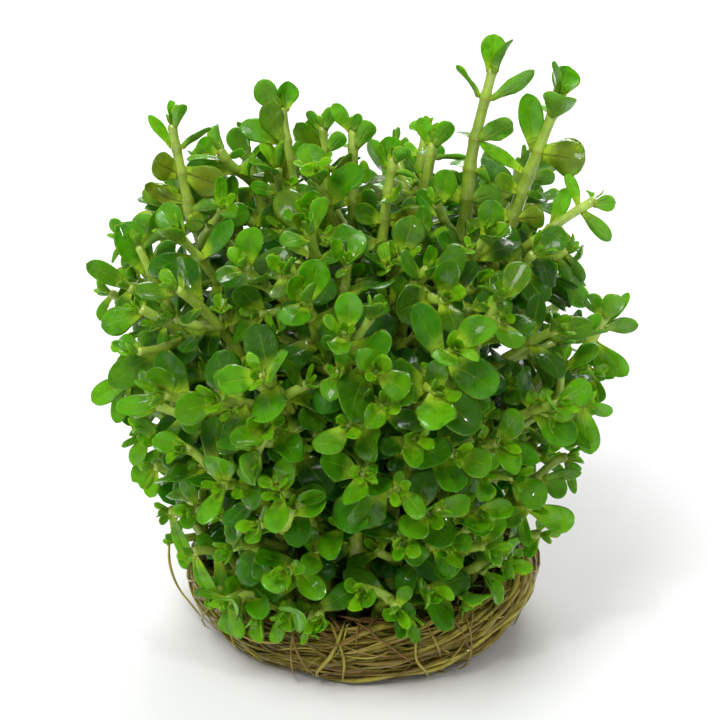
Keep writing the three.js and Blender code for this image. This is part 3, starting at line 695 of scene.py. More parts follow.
def tip_of(place, lean=None):
    bearing, height, reach = place[:3]
    own = place[3] if len(place) > 3 else lean
    slant = (own if own is not None else along(LEAN_AT, height)) * DEGREE
    out = outward(bearing)
    return {
        "bearing": bearing,
        "reach": reach,
        "at": out * reach + UP * height,
        "points": out * math.sin(slant) + UP * math.cos(slant),
    }


def side_tip(place, pairs):
    return {**tip_of(place), "pairs": pairs, "stretch": 1, "bud": False}


shoots = []
for places, habit in FRONT:
    pairs = habit.get("pairs", 2)
    shoots.append({
        "tip": tip_of(places[0], habit.get("lean")),
        "sides": [side_tip(side, 2 if side[1] > LOW_SHOOT else 1) for side in places[1:]],
        "stretch": habit.get("stretch", 1),
        "pairs": pairs,
        "spin": habit.get("spin"),
        "bud": pairs > 3,
        "kind": "tall_shoot" if places[0][1] > TALL_SHOOT else "front_shoot",
    })
for row, (height, count, reach) in enumerate(BACK_ROWS):
    for i in range(count):
        share = (i + 0.25 + 0.5 * (row % 2)) / count
        bearing = BACK["from"] + (BACK["to"] - BACK["from"]) * share + vary(BACK_LOOSE["bearing"], row, i, 1)
        top = height + vary(BACK_LOOSE["height"], row, i, 2)
        sides = []
        for k, drop in enumerate(BACK["side_drop"]):
            low = max(BACK["lowest"], top - drop + vary(BACK_LOOSE["side_height"], row, i, 3 + k))
            aside = BACK["side_turn"] * (2 * k - 1) + vary(BACK_LOOSE["side_turn"], row, i, 5 + k)
            sides.append(side_tip((bearing + aside, low, along(OUTLINE, low) * reach), 2 - k))
        shoots.append({
            "tip": tip_of((bearing, top, along(OUTLINE, top) * reach)),
            "sides": sides,
            "stretch": 1.1,
            "pairs": 2,
            "spin": None,
            "bud": False,
            "kind": "back_shoot",
        })

# The feet fan out in the order of their tips' slopes, and are pushed apart until none touch
FEET = {"height": 5, "reach": 15.8, "apart": 3.3, "edge_slope": 56}
PUSH_ROUNDS = 400
PUSH = 0.25
feet = []
for shoot in shoots:
    slope = math.atan2(shoot["tip"]["reach"], shoot["tip"]["at"][2]) / DEGREE
    away = FEET["reach"] * min(1, slope / FEET["edge_slope"])
    bearing = shoot["tip"]["bearing"] * DEGREE
    feet.append(complex(math.cos(bearing) * away, math.sin(bearing) * away))
for _ in range(PUSH_ROUNDS):
    for i in range(len(feet)):
        for j in range(i):
            apart = feet[i] - feet[j]
            distance = abs(apart)
            if 0 < distance < FEET["apart"]:
                apart *= (FEET["apart"] - distance) * PUSH / distance
                feet[i] += apart
                feet[j] -= apart
    for i, foot in enumerate(feet):
        if abs(foot) > FEET["reach"]:
            feet[i] = foot / abs(foot) * FEET["reach"]
feet = [np.array([foot.real, foot.imag, FEET["height"] + GAP]) for foot in feet]

CURVE_STEPS = 64


class LimbCurve:
    """A smooth curve from a limb's start to its tip, with evenly measured length."""

    def __init__(self, start, leaves, tip, arrives, softness, aside=0.0):
        reach = norm(tip - start)
        bend = leaves * reach * softness + aside
        arrive = -arrives * reach * softness + aside
        self.controls = [start, start + bend, tip + arrive, tip]
        self.points = self.at(np.linspace(0, 1, CURVE_STEPS + 1))
        steps = norm(np.diff(self.points, axis=0), axis=1)
        self.lengths = np.concatenate([[0], np.cumsum(steps)])
        self.total = self.lengths[-1]

    def at(self, share):
        t = np.asarray(share, float)[:, None]
        a, b, c, d = self.controls
        return (1 - t) ** 3 * a + 3 * (1 - t) ** 2 * t * b + 3 * (1 - t) * t**2 * c + t**3 * d

    def point(self, s):
        s = np.atleast_1d(s)
        return np.column_stack([np.interp(s, self.lengths, self.points[:, k]) for k in range(3)])

    def tangent(self, s):
        t = np.interp(np.atleast_1d(s), self.lengths, np.linspace(0, 1, CURVE_STEPS + 1))[:, None]
        a, b, c, d = self.controls
        way = (1 - t) ** 2 * (b - a) + 2 * (1 - t) * t * (c - b) + t**2 * (d - c)
        return way / norm(way, axis=1)[:, None]


def taper(curve, half_foot, s):
    return STEM["tip"] + (half_foot - STEM["tip"]) * np.minimum(1, (curve.total - s) / STEM["taper_over"])


def face_normal(ring, face):
    return (ring["v"], -ring["u"], -ring["v"], ring["u"])[face]


def ring_at(s, centre, tangent, u, half):
    """A limb's cross-section: where it is, the way it faces, its two directions across and half its width."""
    return {"s": s, "centre": centre, "tangent": tangent, "u": u, "v": np.cross(tangent, u), "half": half}


LONGEST_STRAIGHT = 24  # mm of stem without a ring
AXIL_REACH = 4  # mm: a side shoot this near to a pair of leaves grows from its axil
LOWEST_PAIR = 2.2  # mm up the limb
FORK_BELOW_TIP = 3
TOUCHING = 0.01


def plan_limb(curve, habit, forks, first, half_foot):
    """Where a limb's joints and side shoots come along it, with the ring of stem below each."""
    joints = []
    youngest = 0 if habit["bud"] else 1
    for age in range(youngest, youngest + habit["pairs"]):
        s = curve.total + youngest * JOINT - PAIR_AT[age] * (habit["stretch"] if age > 1 else 1)
        if s > LOWEST_PAIR or age == youngest:
            joints.append({"s": s, "age": age, "half": JOINT / 2})
    for fork in forks:
        made = {**fork, "s": min(fork["s"], curve.total - FORK_BELOW_TIP), "half": FORK / 2}
        nearest = min(joints, key=lambda joint: abs(joint["s"] - fork["s"]))
        if abs(nearest["s"] - fork["s"]) < AXIL_REACH:
            made["s"] = nearest["s"] + nearest["half"] + made["half"]
        while any(abs(joint["s"] - made["s"]) < joint["half"] + made["half"] - TOUCHING for joint in joints):
            made["s"] -= FORK / 4
        joints.append(made)
    joints.sort(key=lambda joint: joint["s"])
    bare = joints[0]["s"] - joints[0]["half"]
    plain = math.ceil(bare / LONGEST_STRAIGHT)
    stations = [(bare * i / plain, None) for i in range(plain)]
    for i, joint in enumerate(joints):
        stations.append((joint["s"] - joint["half"], joint))
        end = joint["s"] + joint["half"]
        above = joints[i + 1] if i + 1 < len(joints) else None
        if above is None or above["s"] - above["half"] > end + TOUCHING:
            stations.append((end, None))
    at = np.array([s for s, _ in stations])
    rings = []
    u = np.asarray(first, float)
    for s, centre, tangent in zip(at, curve.point(at), curve.tangent(at)):
        u = square_to(u, tangent)
        rings.append(ring_at(s, centre, tangent, u, float(taper(curve, half_foot, s))))
    return {"curve": curve, "rings": rings, "joints": [joint for _, joint in stations], "foot": half_foot}


FORK_FIT = {"from": 0.22, "to": 0.9, "step": 0.04, "slant": 40, "shortest": 6, "longest": 16}


def fork_place(curve, tip):
    """How far up its stem a side shoot starts, so that it reaches its tip at a natural slant and length."""
    best, share = (math.inf, 0), FORK_FIT["from"]
    while share < FORK_FIT["to"]:
        s = curve.total * share
        to_tip = tip["at"] - curve.point(s)[0]
        away = norm(to_tip)
        slant = math.acos(np.clip(curve.tangent(s)[0].dot(to_tip) / away, -1, 1)) / DEGREE
        misfit = 3 * max(0, FORK_FIT["shortest"] - away) + max(0, away - FORK_FIT["longest"])
        best = min(best, (abs(slant - FORK_FIT["slant"]) + misfit, s))
        share += FORK_FIT["step"]
    return best[1]


MATCH = 0.06  # mm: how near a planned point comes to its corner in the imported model


def fits(points, corners):
    """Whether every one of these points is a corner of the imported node."""
    gaps = norm(np.asarray(points)[:, None] - corners[None], axis=2).min(axis=1)
    return gaps.max() < MATCH


def corners_of(rings):
    sides = ((1, 1), (-1, 1), (-1, -1), (1, -1))
    spokes = [(ring, ring["u"] * a + ring["v"] * b) for ring in rings for a, b in sides]
    return [ring["centre"] + spoke * ring["half"] for ring, spoke in spokes]


STEM_TRIES = 120
BOW_STEP = 0.9
FORK_TRIES = 8
FALL_SHORT = 0.09  # of its length, by which a side shoot is shortened for each new try
SHOOT_SIZE = {"middle": 0.95, "spread": 0.1}


def grow_stem(shoot, number, foot, corners):
    """Of the ways in which the stem may bow aside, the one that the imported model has."""
    tip = shoot["tip"]
    spin = shoot["spin"] if shoot["spin"] is not None else chance(number, 3) * 90
    rise = sized(UP + outward(tip["bearing"]) * STEM["foot_slope"])
    for attempt in range(STEM_TRIES):
        bow = BOW_STEP * math.sqrt(attempt)
        aside = outward(tip["bearing"] + 90) * vary(bow, number, attempt, 11)
        aside = aside + outward(tip["bearing"]) * vary(bow, number, attempt, 12)
        curve = LimbCurve(foot, rise, tip["at"], tip["points"], STEM["bend"], aside)
        sides = enumerate(shoot["sides"], 1)
        forks = [{"s": fork_place(curve, side), "tip": side, "id": k} for k, side in sides]
        plan = plan_limb(curve, shoot, forks, outward(spin), STEM["foot"])
        if fits(corners_of(plan["rings"]), corners):
            return {**plan, "number": 0}
    return None


def grow_sides(main, corners):
    """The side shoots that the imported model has, each on the face and of the length that it has there."""
    limbs = []
    for ring, joint in zip(main["rings"], main["joints"]):
        if not joint or "tip" not in joint:
            continue
        to_tip = joint["tip"]["at"] - ring["centre"]
        order = sorted(range(4), key=lambda face: -face_normal(ring, face).dot(to_tip))
        for attempt in range(FORK_TRIES):
            out = face_normal(ring, order[attempt % 2])
            start = ring["centre"] + ring["tangent"] * (FORK / 2) + out * ring["half"]
            leaves = sized(out + ring["tangent"] * STEM["axil_slope"])
            end = start + (joint["tip"]["at"] - start) * (1 - FALL_SHORT * (attempt // 2))
            curve = LimbCurve(start, leaves, end, joint["tip"]["points"], STEM["side_bend"])
            plan = plan_limb(curve, joint["tip"], [], ring["tangent"], STEM["side"])
            if fits(corners_of(plan["rings"][1:]), corners):
                limbs.append({**plan, "number": joint["id"]})
                break
    return limbs


plants = []
tally = {}
for number, (shoot, foot) in enumerate(zip(shoots, feet)):
    tally[shoot["kind"]] = tally.get(shoot["kind"], 0) + 1
    name = f"{shoot['kind']}_{tally[shoot['kind']]:02d}"
    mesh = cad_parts[name].data
    corners = np.empty(len(mesh.vertices) * 3, np.float32)
    mesh.vertices.foreach_get("co", corners)
    corners = corners.reshape(-1, 3) / MM
    main = grow_stem(shoot, number, foot, corners)
    limbs = [main, *grow_sides(main, corners)]
    size = SHOOT_SIZE["middle"] + vary(SHOOT_SIZE["spread"], number, 7)
    plants.append({
        "name": name,
        "kind": shoot["kind"],
        "number": number,
        "limbs": limbs,
        "size": size,
        "corners": corners,
        "tissue": Tissue(),
        "tone": chance(number, 81),
    })
packed_limbs = [(plant, limb) for plant in plants for limb in plant["limbs"]]

# The pairs of leaves of a limb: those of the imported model, then older ones all the way down to its start
OLDER_SPACING = 4.4  # mm between two pairs
OLDER_LOOSE = 0.8
LOWEST_OLD_PAIR = {"main": 3.0, "side": 2.6}  # mm up the limb


def frame_at(limb, s):
    """The limb's cross-section at a place between its packed rings."""
    rings = limb["rings"]
    nearest = min(rings, key=lambda ring: abs(ring["s"] - s))
    tangent = limb["curve"].tangent(s)[0]
    half = float(taper(limb["curve"], limb["foot"], s))
    return ring_at(s, limb["curve"].point(s)[0], tangent, square_to(nearest["u"], tangent), half)


for plant, limb in packed_limbs:
    pairs = []
    for ring, joint in zip(limb["rings"], limb["joints"]):
        if joint and "age" in joint:
            middle = {**ring, "centre": ring["centre"] + ring["tangent"] * (JOINT / 2), "s": joint["s"]}
            pairs.append({"ring": middle, "age": joint["age"], "packed": True})
    pairs.sort(key=lambda pair: -pair["ring"]["s"])
    s, age = pairs[-1]["ring"]["s"], pairs[-1]["age"]
    lowest = LOWEST_OLD_PAIR["main" if limb["number"] == 0 else "side"]
    while True:
        age += 1
        s -= OLDER_SPACING + 0.12 * age + vary(OLDER_LOOSE, plant["number"], limb["number"], age, 91)
        if s < lowest:
            break
        pairs.append({"ring": frame_at(limb, s), "age": age, "packed": False})
    limb["pairs"] = pairs

# The tall shoots stand out against the light, so their leaves follow the photograph one by one, from the tip
# down: mm below the tip of the stem, then the leaves of that joint. A leaf is where its tip lies from its
# joint (aside, back and up, in mm), its width, the degrees that its blade is turned from the front, and what
# else sets it apart.
SKYLINE = {
    ("tall_shoot_01", 0): [
        (2.6, [(0.5, 1.5, 4.4, 3.3, 8, "bright"), (2.1, -1.5, 4.9, 2.2, 62, "folded")]),
        (6.1, [(-3.2, 1, 4, 1.2, 65, "wavy"), (5.6, -0.5, 4, 2, 35, "wavy upturned")]),
        (11.4, [(4.2, -2.2, 3, 3, 38, "dark wavy"), (-1.5, 2.5, 0, 2.6, 60)]),
        (15.5, [(-1.5, 3, 0, 2.6, 40), (2, -1.5, -1, 2.4, 60, "tinged")]),
        (19.5, [(-4.6, -1.2, 2.4, 3.2, 12), (3.6, -1.6, 1.6, 3.2, 15, "dark")]),
    ],
    ("tall_shoot_02", 0): [
        (1.8, [(1.2, 1.8, 3.4, 3.9, 10, "cupped"), (-0.7, -1.4, 5, 2, 60, "folded")]),
        (4.1, [(1, -3.2, 3.5, 4.4, 10, "cupped"), (-0.7, 2.6, 0.5, 3, 20)]),
        (9.3, [(-1, 1.4, 7, 3.4, 6), (5.5, -1.2, -0.8, 5, 25, "olive wavy")]),
        (12.5, [(-5.7, 0.6, 3.9, 2.3, 32), (2.9, 1.6, -1.5, 2.6, 40, "tinged")]),
        (15.0, [(-3, -1.5, 2.3, 2.6, 20, "tinged"), (2.1, -1.2, 0.2, 1.7, 50)]),
        (18.4, [(-3.8, -2, 0.8, 3.4, 12), (3.4, -1.6, 0.6, 3, 20, "olive")]),
    ],
    ("tall_shoot_02", 1): [
        (0.4, [(2.7, -1, 0.6, 2.2, 10, "bright"), (-0.5, 1, 0.9, 1.4, 50, "folded")]),
        (2.2, [(3.7, -0.8, -3.7, 2.1, 20, "bright"), (-1.6, 1.2, 3.9, 1.8, 25, "bright")]),
        (6.2, [(1.7, 0.8, 4.5, 2.3, 15, "bright"), (0.8, -1.5, -1.9, 2.6, 30, "wavy")]),
    ],
    ("tall_shoot_03", 0): [
        (1.3, [(-0.3, 0.9, 3.2, 1.7, 35, "bright"), (1.2, -0.9, 3.4, 2, 28, "folded")]),
        (4.1, [(-3, 0.7, 4.3, 1.8, 30, "bright"), (4, -0.5, 3, 1.7, 60, "dark")]),
        (7.4, [(-3, -2.2, 2.4, 3.8, 10, "olive"), (5, -1.5, -1.5, 4.2, 12, "olive")]),
        (11.2, [
            (-4.8, -0.8, 2.6, 2.6, 45, "olive wavy upturned"),
            (-5.5, 1.4, 0.8, 3.4, 15, "tinged bright"),
        ]),
        (12.4, [(3.5, -1.8, 1.2, 2.8, 25, "cupped"), (1.2, -3, -1.6, 2.8, 15, "tinged")]),
    ],
    ("tall_shoot_04", 0): [
        (2.8, [(-2, -0.6, 4.7, 2.8, 12, "bright"), (-1.4, 1.4, 4.9, 1.9, 60, "dark")]),
        (6.6, [(-2.7, -1.4, -1.7, 3, 20, "tinged"), (1.4, 1.8, 1.8, 2.3, 40)]),
        (10.2, [(3.4, -2, 0.8, 3.4, 15, "dark"), (-3.8, -1.6, 0.4, 3, 20)]),
    ],
    ("tall_shoot_04", 1): [
        (0.3, [(-1, 0.6, 3.1, 2.3, 40, "folded"), (-2.4, -1, 1.8, 2.4, 30, "cupped")]),
        (1.6, [(-4.8, 0.5, 0, 1.7, 68, "bright"), (2.1, 1.5, 0.2, 1.7, 50)]),
    ],
    ("tall_shoot_05", 0): [
        (1.0, [(-2.7, -0.7, 4.3, 3.2, 8, "bright"), (0.5, 1, 3.6, 3.1, 20, "cupped")]),
        (5.0, [(-2.5, -1, 5.6, 3.4, 12, "tinged"), (-5.5, 0.9, 2.2, 3.4, 18)]),
        (7.4, [(-4, -1.4, 1.7, 3, 25, "cupped dark"), (1.6, 1.6, 1.6, 2.4, 30)]),
        (10.4, [(-2.2, -1.5, 3.5, 4.2, 10, "olive dark"), (-4.7, 0.8, 0.8, 1.8, 68, "dark")]),
    ],
    ("tall_shoot_06", 0): [
        (0.6, [(-1.7, 0.7, 2.3, 1.6, 22, "dark"), (1.1, -0.7, 3.4, 2, 12)]),
        (3.5, [(-1.5, 1.1, 4.1, 3, 8, "bright"), (2.3, -0.8, 2.7, 2.3, 15, "bright")]),
        (5.6, [(-3.2, -0.9, 6.4, 3, 25, "tinged"), (1.7, -0.9, -1.9, 2, 55, "olive folded dark")]),
    ],
    ("tall_shoot_07", 0): [
        (0.2, [(-2.2, 0.5, 3.4, 2.1, 8, "bright"), (0.5, -0.6, 2.6, 1.5, 15)]),
        (2.4, [(2, -0.7, 3.7, 2.7, 14, "bright"), (-0.7, 1.2, 0, 1.6, 40, "bright")]),
        (6.0, [(-1.5, -1.8, 2.5, 4.2, 15, "olive dark"), (1.8, 0.8, 0.2, 3.2, 20, "tinged")]),
        (9.6, [(2.6, -2.6, 0.6, 4, 12, "dark"), (-3.6, -1.2, 1, 3, 25)]),
    ],
    ("tall_shoot_08", 0): [
        (0.6, [(-0.3, 1.3, 2.7, 3.1, 8, "cupped"), (1.5, -1.2, 2.2, 2.3, 35, "cupped")]),
        (1.9, [(-2, 0.4, 3.9, 1.7, 40), (2.7, -0.6, -0.7, 1.4, 60, "bright")]),
        (4.6, [(0.7, -3.4, 0, 4, 15, "cupped dark"), (-0.9, 2.2, 0.2, 2.6, 30)]),
        (8.4, [(5.6, -1.6, 0.4, 4, 12, "olive dark"), (-3.4, -1.4, 1.4, 3.2, 25)]),
        (11.6, [(-4.4, -1.6, 0.6, 3.4, 15), (3, -2.4, -1.4, 3, 15, "tinged")]),
    ],
    ("tall_shoot_09", 0): [
        (1.2, [(-1.3, 0.8, 3.5, 2.3, 15, "bright"), (2, -0.7, 3.6, 2.5, 10, "bright")]),
        (2.5, [(4.9, 0.3, -0.5, 1.3, 60, "bright"), (-1.2, 1.4, 0.1, 1.5, 45)]),
        (5.8, [(-4.4, -0.4, 6, 1.8, 50), (2.9, 1.6, -3.8, 3, 12, "bright")]),
        (8.0, [(4.4, -1.2, 3.6, 3.4, 25, "dark"), (-2.3, -1.5, -1.3, 2.6, 30)]),
    ],
}
# The same for shoots at the clump's left and right edges and low at its front right. The last two entries
# are for a shoot at the back that is drawn shorter than its solid
EDGES = {
    ("back_shoot_08", 0): [
        (0.5, [(-2.2, 0.6, 2.5, 1.9, 15, "bright"), (-1.7, -1, -2.5, 1.6, 55)]),
        (4.7, [(-3, 1.2, -0.9, 3.2, 20, "bright"), (3, 1.2, 1.8, 2.4, 30)]),
    ],
    ("back_shoot_08", 2): [
        (0.5, [(-1.7, 0.3, -3.5, 1.7, 30), (-1.8, 1, 0, 1.6, 40, "bright")]),
        (4.4, [(-3, 0.6, 1, 2.4, 15), (1, 1, 1.3, 1.8, 40)]),
    ],
    ("front_shoot_01", 0): [
        (0.5, [(3.5, 1, 5, 2.9, 8), (3.5, -1.6, 2.5, 1.9, 50, "folded")]),
        (4.2, [(-3.5, 1.4, 6.5, 4.7, 5, "bright"), (4.5, -1, 1.9, 2.7, 20, "cupped dark")]),
        (8.8, [(-5.5, -1.2, 2.5, 3.9, 15, "tinged dark"), (2.5, 1.5, 1.3, 2.6, 30)]),
    ],
    ("front_shoot_01", 1): [(0.5, [(-5.5, -0.4, 3.5, 2.8, 20), (-1.6, -1, -3, 2.5, 25)])],
    ("front_shoot_03", 0): [
        (0.5, [(-5, -0.6, -1.8, 3.7, 5, "bright"), (-0.5, 1.4, 2, 2, 30)]),
        (4.2, [(-5, -1.2, -1.6, 1.5, 60, "wavy"), (-0.3, -1.4, -3, 1.7, 30, "bright")]),
    ],
    ("front_shoot_03", 1): [
        (0.5, [(-2.5, 0.5, 1.2, 2.2, 20), (0.8, 1, 2, 1.8, 40)]),
        (4.2, [(-7, -1, -4.5, 4.1, 8), (1.5, -1.5, -1.9, 2.2, 40, "bright")]),
    ],
    ("front_shoot_04", 1): [
        (0.5, [(-5, -0.6, -3, 3.1, 8, "bright"), (-2, -0.8, -6, 2.5, 10)]),
        (4.2, [(-4, -1, -0.8, 2.9, 15, "dark"), (-0.5, -1.8, -2.5, 2.3, 20, "bright")]),
    ],
    ("front_shoot_30", 1): [(0.5, [(-1.6, 0, -2, 1.7, 45), (-1.6, 0.6, 0.7, 1.7, 30)])],
    ("front_shoot_09", 1): [(0.5, [(-2.5, 0.4, 2, 1.9, 15, "bright"), (-1.2, -1.2, -1, 1.6, 30)])],
    ("front_shoot_30", 0): [
        (0.5, [(-3.5, 0.3, -1.7, 1.3, 40), (-2, -0.6, -4, 2.4, 12, "bright")]),
        (4.2, [(-5.5, -0.8, -5, 3.2, 8), (-1, -2, -2, 2.4, 20, "dark")]),
    ],
    ("front_shoot_30", 2): [(0.5, [(-2, -0.3, -2.5, 1.9, 20), (-0.8, -1, -3.5, 2.2, 20, "bright")])],
    ("front_shoot_18", 0): [
        (0.5, [(1.5, -0.8, 3.5, 2.9, 5, "cupped bright"), (-2, 0.8, 2.5, 2.4, 12, "dark")]),
        (1.9, [(4.5, -0.6, 0.6, 2.3, 20, "dark"), (3.5, 1.4, 4, 1.8, 30, "bright")]),
        (4.4, [(2.5, -1.2, -4.5, 3.2, 12), (4.5, -0.2, -4.5, 2.8, 10, "bright")]),
        (8.8, [(4, -0.6, -0.6, 1.8, 20), (3, 1.6, 2.5, 2.9, 10, "bright")]),
    ],
    ("front_shoot_17", 0): [
        (0.5, [(3.5, 0.4, 3, 2, 20, "bright"), (4.5, 0, 1.2, 1.3, 55, "bright")]),
        (4.2, [(0, -0.6, 4.5, 2, 30, "wavy"), (-1.6, 1, 1.5, 2.6, 20)]),
    ],
    ("front_shoot_18", 1): [(0.5, [(1.3, -0.3, -4, 2.8, 15, "dark"), (0.1, -1.5, -4.5, 2.6, 20)])],
    ("front_shoot_16", 1): [(0.5, [(4, 0.4, -1.4, 1.9, 15, "bright"), (1.3, -0.8, -6.5, 3.3, 10)])],
    ("front_shoot_17", 1): [(0.5, [(-2.1, -1.8, -3.5, 4, 8, "dark"), (1.7, -0.4, -4.5, 2, 20)])],
    ("back_shoot_09", 1): [(0.5, [(-1.5, 0, -3, 1.6, 40), (2, 0.4, -2.5, 1.8, 30)])],
    ("front_shoot_28", 1): [
        (0.5, [(2, 0, -1.6, 1.2, 30), (1.3, -0.6, -4.5, 1.3, 20, "bright")]),
        (4.8, [(5, -0.4, 1, 1.7, 20), (3, -1.6, -1.5, 2.8, 15)]),
    ],
    ("front_shoot_23", 0): [
        (0.5, [(1.6, 0.4, -5.4, 2.1, 15, "bright"), (2.9, -0.5, -6.6, 1.6, 20, "bright")]),
        (4.2, [(1.4, -3, -6.6, 2.3, 12, "dark"), (-2.4, 1, 1.6, 2.2, 25)]),
    ],
    ("front_shoot_23", 1): [
        (0.5, [(1.3, -0.6, -5, 2.1, 15, "bright"), (-4.6, 4.4, -1.2, 1.4, 30, "dark")]),
        (4.4, [(3, -3, -4, 2.6, 12), (-1.6, -1.8, 2.6, 2.2, 25, "bright")]),
    ],
    ("front_shoot_23", 2): [(0.5, [(2.5, -1, -6.8, 2, 18, "bright"), (-1.4, -0.4, -1.4, 1.4, 30)])],
    ("back_shoot_16", 2): [(0.5, [(0.8, -1.5, -3.4, 1.8, 20, "bright"), (-0.3, -0.8, 2.8, 1.7, 25)])],
    ("front_shoot_28", 0): [
        (0.5, [(5.5, 0.3, -2.5, 3.6, 8, "bright"), (-3.5, -1.2, -1.3, 3, 15)]),
        (1.9, [(0.8, 0.8, 3.4, 3.8, 8, "bright"), (0.8, -0.6, -5, 1.8, 20)]),
        (4.6, [(3.2, 1.6, 3.2, 3.4, 15, "dark"), (-2.8, -1.6, -1.2, 3, 20)]),
    ],
    ("front_shoot_28", 2): [(0.5, [(-1.6, -0.8, -2.4, 1.8, 20), (0.6, 0.4, 1.9, 1.8, 30, "bright")])],
    ("front_shoot_19", 0): [
        (0.5, [(2.5, 0.2, -4, 1.7, 25, "bright"), (-2, 0.8, 3, 2.8, 10)]),
        (1.6, [(-2.5, -1.4, 1.9, 3.1, 10, "dark"), (1.4, -0.6, -3, 2, 20, "bright")]),
    ],
    ("back_shoot_05", 1): [(0.5, [(3.5, 0.3, -4, 3.1, 12, "bright"), (0.8, -1, -3.5, 2.2, 20)])],
    ("back_shoot_01", 1): [(0.5, [(0, 0.6, 1.8, 2.4, 20), (0.1, -1, -1.5, 2, 30)])],
    ("back_shoot_02", 2): [
        (1.8, [(-1.5, 0.8, 0.4, 1.6, 30), (1.4, 0.6, 0.2, 1.6, 30)]),
        (4.6, [(-2.4, 0.6, 0.4, 2.2, 30), (2.2, 0.6, 0.2, 2.2, 30)]),
    ],
    ("back_shoot_02", 0): [
        (2.2, [(-1.8, 0.8, 0.8, 1.8, 30), (1.8, 0.6, 0.6, 1.8, 30)]),
        (5.2, [(-2.6, 0.8, 0.6, 2.4, 30), (2.6, 0.6, 0.4, 2.4, 30)]),
    ],
}
# Two of the tall shoots lean a little further to the left than their solids do
LEANING = {"tall_shoot_01": -1.1, "tall_shoot_03": -1.5}  # mm at the tip
LEAN_OVER = (24.0, 12.0)  # the lean starts this far below the tip, and grows over this length


def lean_at(curve, lengths, by):
    share = np.clip((lengths - curve.total + LEAN_OVER[0]) / LEAN_OVER[1], 0, 1)
    return by * share * share * (3 - 2 * share)


for plant in plants:
    by = LEANING.get(plant["name"])
    if not by:
        continue
    main, *others = [limb["curve"] for limb in plant["limbs"]]
    for curve in others:
        fork = norm(main.points - curve.points[0], axis=1).argmin()
        curve.points[:, 0] += lean_at(main, main.lengths[fork], by)
    main.points[:, 0] += lean_at(main, main.lengths, by)

STEM_END = 0.5  # mm of stem over its highest joint
OLDER_BELOW = 2.4  # mm under the lowest joint read off the photograph, where the older leaves go on
for plant, limb in packed_limbs:
    joints = {**SKYLINE, **EDGES}.get((plant["name"], limb["number"]))
    if not joints:
        continue
    highest, lowest = (limb["curve"].total - joints[k][0] for k in (0, -1))
    older = [pair for pair in limb["pairs"] if pair["ring"]["s"] < lowest - OLDER_BELOW]
    limb["pairs"] = [
        {"ring": frame_at(limb, limb["curve"].total - below), "age": k, "packed": True, "seen": seen}
        for k, (below, seen) in enumerate(joints)
    ] + older
    limb["ends"] = min(highest + STEM_END, limb["curve"].total)

YOUNG_STEM = [(0.0, (0.17, 0.25, 0.010)), (0.45, (0.29, 0.44, 0.022)), (1.0, (0.44, 0.64, 0.080))]
SOAK = 0.0007  # metres that light travels inside the flesh of stems and leaves

stem_material, tree, skin = material_with("stem_skin")
place = attribute(tree, "place").outputs["Vector"]
_, youth, _ = split(tree, attribute(tree, "trait").outputs["Color"])
olive = attribute(tree, "trait").outputs["Alpha"]
_, _, collar = split(tree, attribute(tree, "lay").outputs["Color"])
grown = place_group(tree, streaks, {"Place": place, "Across": 3.5, "Along": 0.35})
colour = ramp(tree, youth, *YOUNG_STEM)
colour = mix(tree, times(tree, olive, 0.45), colour, (0.21, 0.22, 0.016))
colour = mix(tree, times(tree, grown["Streaks"], 0.3), colour, (0.44, 0.60, 0.12))
colour = mix(tree, times(tree, grown["Blotches"], 0.4), colour, (0.12, 0.20, 0.010))
colour = mix(tree, times(tree, collar, 0.6), colour, (0.20, 0.13, 0.02))
film = place_group(tree, wet, {"Place": place, "Scale": 0.7, "Dry": 0.45, "Wet": 0.2})
finish_skin(tree, skin, colour, grown["Relief"], 0.04, film)
feed(tree, skin.inputs, {
    "Subsurface Weight": 0.5,
    "Subsurface Radius": (0.7, 1.0, 0.15),
    "Subsurface Scale": SOAK,
})

SQUARENESS = 2.8  # 2 would make a round stem
turn = np.radians(15 + 30 * np.arange(12))
square = (np.abs(np.cos(turn)) ** SQUARENESS + np.abs(np.sin(turn)) ** SQUARENESS) ** (-1 / SQUARENESS)
STEM_SECTION = np.column_stack([np.cos(turn) * square, np.sin(turn) * square])
STEM_STEP = 1.3  # mm between rings
JOINT_RINGS = (-0.8, -0.35, -0.12, 0.12, 0.4, 0.9)  # mm off a joint
FULLNESS = 1.34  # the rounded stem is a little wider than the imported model's square one
SWELLING = {"joint": 0.20, "over": 0.8, "collar": 0.08, "collar_over": 0.16}
FLARE = {"size": 0.3, "over": 0.9}  # at the foot of a side shoot
INTO_PARENT = 0.5  # a side shoot starts this far inside its stem
INTO_NEST = 1.4
ROUNDED = {"over": 0.5, "end": 0.3, "rings": (0.06, 0.2, 0.36)}  # a limb's end past its last joint
YOUNG_OVER = 14  # mm from the tip down over which the stem ages


